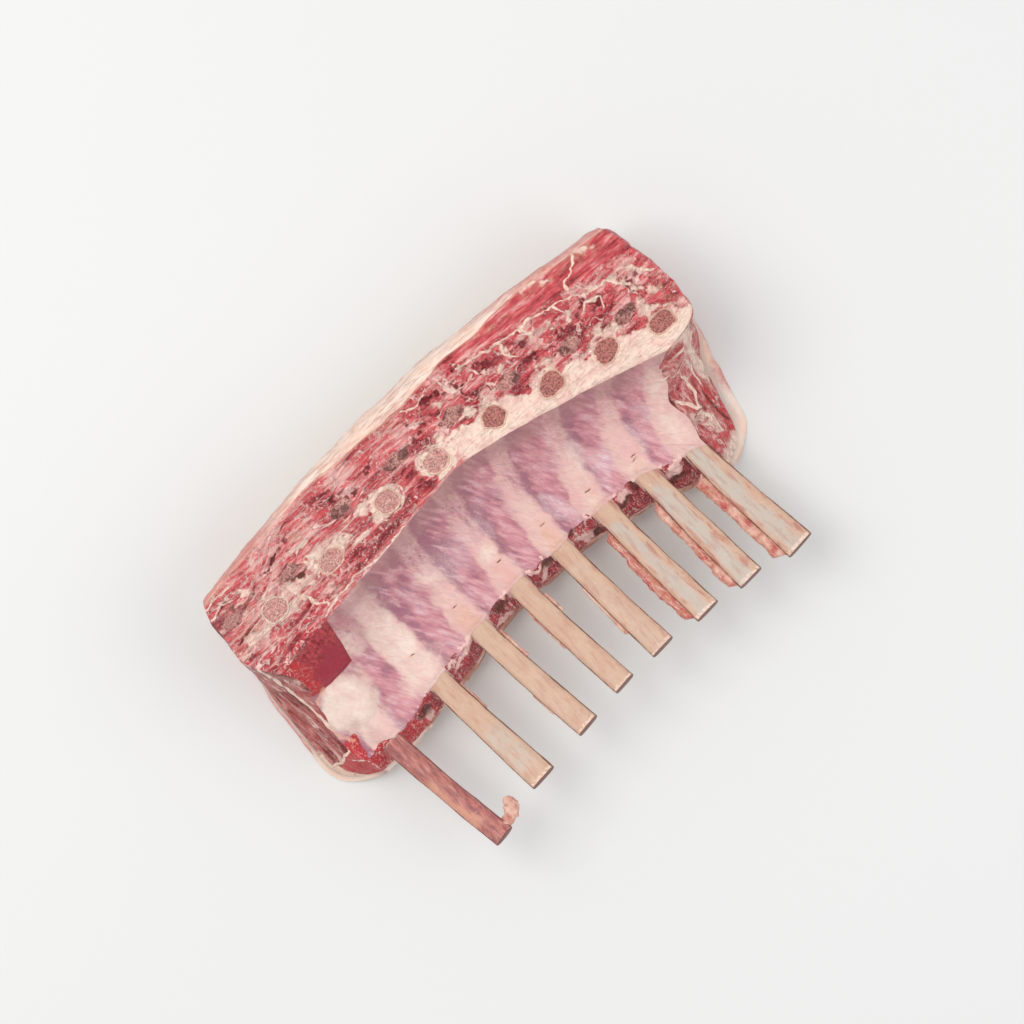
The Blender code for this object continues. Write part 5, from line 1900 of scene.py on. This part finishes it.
# Each scrap along a rib: name, node it replaces, rib, side, y at its ends, width, thickness, paleness.
SCRAPS = (
    ("scrap_5", "rib_meat_5", 5, -1, -0.0250, -0.0480, 0.0012, 0.0028, 0.6),
    ("scrap_6", "rib_meat_6", 6, -1, -0.0180, -0.0592, 0.0032, 0.0030, 0.0),
    ("scrap_7", "rib_meat_7", 7, -1, -0.0215, -0.0615, 0.0032, 0.0030, 0.35),
    ("scrap_8", "rib_meat_8", 8, -1, -0.0255, -0.0648, 0.0042, 0.0032, 0.3),
    ("flap_3", None, 3, 1, -0.0165, -0.0300, 0.0012, 0.0016, 0.5),
    ("flap_3b", None, 3, -1, -0.0400, -0.0500, 0.0008, 0.0016, 0.4),
    ("flap_4", None, 4, 1, -0.0180, -0.0270, 0.0013, 0.0018, 0.6),
    ("flap_4b", None, 4, -1, -0.0190, -0.0370, 0.0009, 0.0016, 0.5),
    ("flap_2", None, 2, 1, -0.0200, -0.0330, 0.0007, 0.0016, 0.3),
)


# The scrap at the tip of rib 1: x, y and radius along it, in metres.
TIP_ROUTE = (
    (
        -0.0682, -0.0652, 0.0016
    ), (-0.0658, -0.0648, 0.0021), (-0.0636, -0.0640, 0.0023), (-0.0616, -0.0630, 0.0026),
    (-0.0604, -0.0614, 0.0024), (-0.0606, -0.0598, 0.0018), (-0.0614, -0.0584, 0.0008),
)


class RACK_OT_scraps(Operator):
    """Makes the strips and flaps of meat and membrane left along the ribs."""

    bl_idname = "rack.scraps"
    bl_label = "Scraps on the ribs"

    def execute(self, context):
        build_trimming(hues_of(context))
        for number, scrap in enumerate(SCRAPS):
            self.strip(number, *scrap)
        self.tip_scrap()
        return {"FINISHED"}

    def strip(self, number, name, node, rib_number, side, start, end, width, thick, pale):
        """One strip beside a rib."""
        rib = RIBS[rib_number - 1]
        steps, sides = 110, 20
        y = np.linspace(start, end, steps)
        share = np.linspace(0, 1, steps)
        ends = smoothstep(np.minimum(share, 1 - share) / 0.06) * 0.9 + 0.1
        wide = (
            width
            * ends
            * (
                (
                    0.88
                    + 0.26 * noise(y, float(number), 0.0, 0.0090, 111, 2)
                    + 0.08 * noise(y, float(number), 0.0, 0.0022, 112, 2)
                )
            )
        )
        x = rib_x(rib, y) + side * (rib_width(rib, y) / 2 + wide / 2 - 0.0002)
        slope = crest_slope(rib_x(rib, y), y)
        z = (
            crest_z(rib_x(rib, y), y)
            - MEMBRANE
            - RIB_THICKNESS * (0.48 + 0.08 * noise(y, float(number), 9.0, 0.006, 113, 2))
        )
        up = unit(np.stack([0 * y, -slope, 1 + 0 * y], axis=1))
        angle = 2 * np.pi * np.arange(sides) / sides
        tall = thick * ends * (0.85 + 0.3 * noise(y, float(number), 5.0, 0.004, 114, 2))
        middles = np.stack([x, y, z], axis=1)
        flat = np.stack(
            [np.cos(angle)[None] * wide[:, None] * 0.62, np.sin(angle)[None] * tall[:, None] / 2], axis=2
        )
        points = middles[:, None] + flat[:, :, :1] * X_AXIS + flat[:, :, 1:] * up[:, None]
        lumps = noise(*xyz(points), 0.0016, 115 + number, 3)
        out = unit(points - middles[:, None], 1e-9)
        points = points + out * (min(width, 0.002) * 0.16 * lumps)[:, :, None]
        points = with_points(middles, points)
        shade = noise(*xyz(points), 0.003, 116, 2)
        masks = {"pale": pale + 0.5 * shade, "scorch": smoothstep(shade * 2 - 0.7) * 0.6}
        made = mesh_of(name, points, grid_faces(*points.shape[:2], closed=True), masks)
        finish_piece(made, "trimming", (node,) if node else ())

    def tip_scrap(self):
        """The scrap at the tip of the first rib."""
        low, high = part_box("rib_meat_1")
        at = np.linspace(0, len(TIP_ROUTE) - 1, 40)
        x, y, radius = (
            np.interp(at, np.arange(len(TIP_ROUTE)), row)
            for row in zip(*TIP_ROUTE, strict=True)
        )
        z = np.full(40, (low[2] + high[2]) / 2)
        middles = np.stack([x, y, z], axis=1)
        along = unit(np.gradient(middles, axis=0))
        across = np.cross(np.array([0.0, 0.0, 1.0]), along)
        angle = 2 * np.pi * np.arange(20) / 20
        points = middles[:, None] + across[:, None] * (np.cos(angle)[None, :, None] * radius[:, None, None])
        points[:, :, 2] += np.sin(angle)[None] * radius[:, None] * 0.8
        lumps = noise(*xyz(points), 0.0015, 121, 3)
        points = middles[:, None] + (points - middles[:, None]) * (1 + 0.50 * lumps[:, :, None])
        points = with_points(middles, points)
        masks = {
            "pale": 0.55 + 0.4 * noise(points[:, :, 0], points[:, :, 1], 0.0, 0.002, 122, 2), "scorch": 0.0
        }
        made = mesh_of("scrap_1", points, grid_faces(*points.shape[:2], flip=True, closed=True), masks)
        finish_piece(made, "trimming", ("rib_meat_1",))


# The camera looks straight down and is rolled, in degrees, so the rack lies slanted in the frame.
CAMERA_PLACE = (0.0075, 0.0092, 1.40)
CAMERA_ROLL = 43.7
SENSOR_WIDTH = 36.0
# Width of the frame, in metres, at the height of the rack's middle.
FRAME_WIDTH = 0.3442
MIDDLE_HEIGHT = 0.025
FLOOR_Z = -0.0002
# Name, place, size, power and colour.
LAMPS = (
    ("key", (-0.36, 0.62, 1.15), 0.85, 8.0, (1.0, 0.985, 0.96)),
    ("fill", (0.62, -0.55, 0.90), 1.0, 3.6, (0.98, 0.99, 1.0)),
)


class RACK_OT_stage(Operator):
    """Makes the floor, the lights and the camera."""

    bl_idname = "rack.stage"
    bl_label = "Stage"

    def execute(self, context):
        scene = context.scene
        build_floor(hues_of(context))
        half = scene.rack_sizes.floor_size
        floor = bpy.data.meshes.new("floor")
        corners = ((-half, -half), (half, -half), (half, half), (-half, half))
        floor.from_pydata([(x, y, FLOOR_Z) for x, y in corners], [], [(0, 1, 2, 3)])
        made = bpy.data.objects.new("floor", floor)
        floor.materials.append(bpy.data.materials["plain floor"])
        scene.collection.objects.link(made)
        world = bpy.data.worlds.new("soft room")
        scene.world = world
        world.use_nodes = True
        sky = world.node_tree.nodes["Background"].inputs
        sky["Color"].default_value = (0.97, 0.985, 1.0, 1.0)
        sky["Strength"].default_value = 0.70
        for lamp in LAMPS:
            self.lamp(*lamp)
        camera = bpy.data.cameras.new("camera")
        camera.clip_start = 0.05
        camera.sensor_width = SENSOR_WIDTH
        camera.lens = SENSOR_WIDTH * (CAMERA_PLACE[2] - MIDDLE_HEIGHT) / FRAME_WIDTH
        eye = bpy.data.objects.new("camera", camera)
        scene.collection.objects.link(eye)
        eye.location = CAMERA_PLACE
        eye.rotation_euler = (0.0, 0.0, -math.radians(CAMERA_ROLL))
        scene.camera = eye
        scene.view_settings.view_transform = "Standard"
        scene.view_settings.look = "None"
        return {"FINISHED"}

    def lamp(self, name, place, size, power, tone):
        """A soft square lamp that shines at the rack."""
        light = bpy.data.lights.new(name, "AREA")
        light.size = size
        light.energy = power
        light.color = tone
        made = bpy.data.objects.new(name, light)
        made.location = place
        reach = math.hypot(place[0], place[1])
        made.rotation_euler = (
            math.atan2(reach, place[2]), 0.0, math.atan2(place[1], place[0]) + math.pi / 2
        )
        bpy.context.scene.collection.objects.link(made)


class RACK_PT_panel(Panel):
    """Lists what can be built."""

    bl_label = "Rack of lamb"
    bl_space_type = "VIEW_3D"
    bl_region_type = "UI"
    bl_category = "Rack of lamb"

    def draw(self, context):
        for operator in OPERATORS:
            self.layout.operator(operator.bl_idname)
        for group in (context.scene.rack_sizes, context.scene.rack_colours):
            for name in group.__annotations__:
                self.layout.prop(group, name)


OPERATORS = (
    RACK_OT_sawn_face,
    RACK_OT_inner_side,
    RACK_OT_loin_end,
    RACK_OT_shoulder_end,
    RACK_OT_fat_cap,
    RACK_OT_ribs,
    RACK_OT_stumps,
    RACK_OT_scraps,
    RACK_OT_stage,
)
CLASSES = (RackSizes, RackColours, *OPERATORS, RACK_PT_panel)


def register():
    """Adds the settings, operators and panel."""
    for made in CLASSES:
        bpy.utils.register_class(made)
    bpy.types.Scene.rack_sizes = PointerProperty(type=RackSizes)
    bpy.types.Scene.rack_colours = PointerProperty(type=RackColours)


def unregister():
    """Takes them away again."""
    del bpy.types.Scene.rack_colours
    del bpy.types.Scene.rack_sizes
    for made in reversed(CLASSES):
        bpy.utils.unregister_class(made)


def main():
    """Builds the rack."""
    register()
    for build in EFFECTS:
        build()
    for operator in OPERATORS:
        group, name = operator.bl_idname.split(".")
        getattr(getattr(bpy.ops, group), name)()


if __name__ == "__main__":
    main()
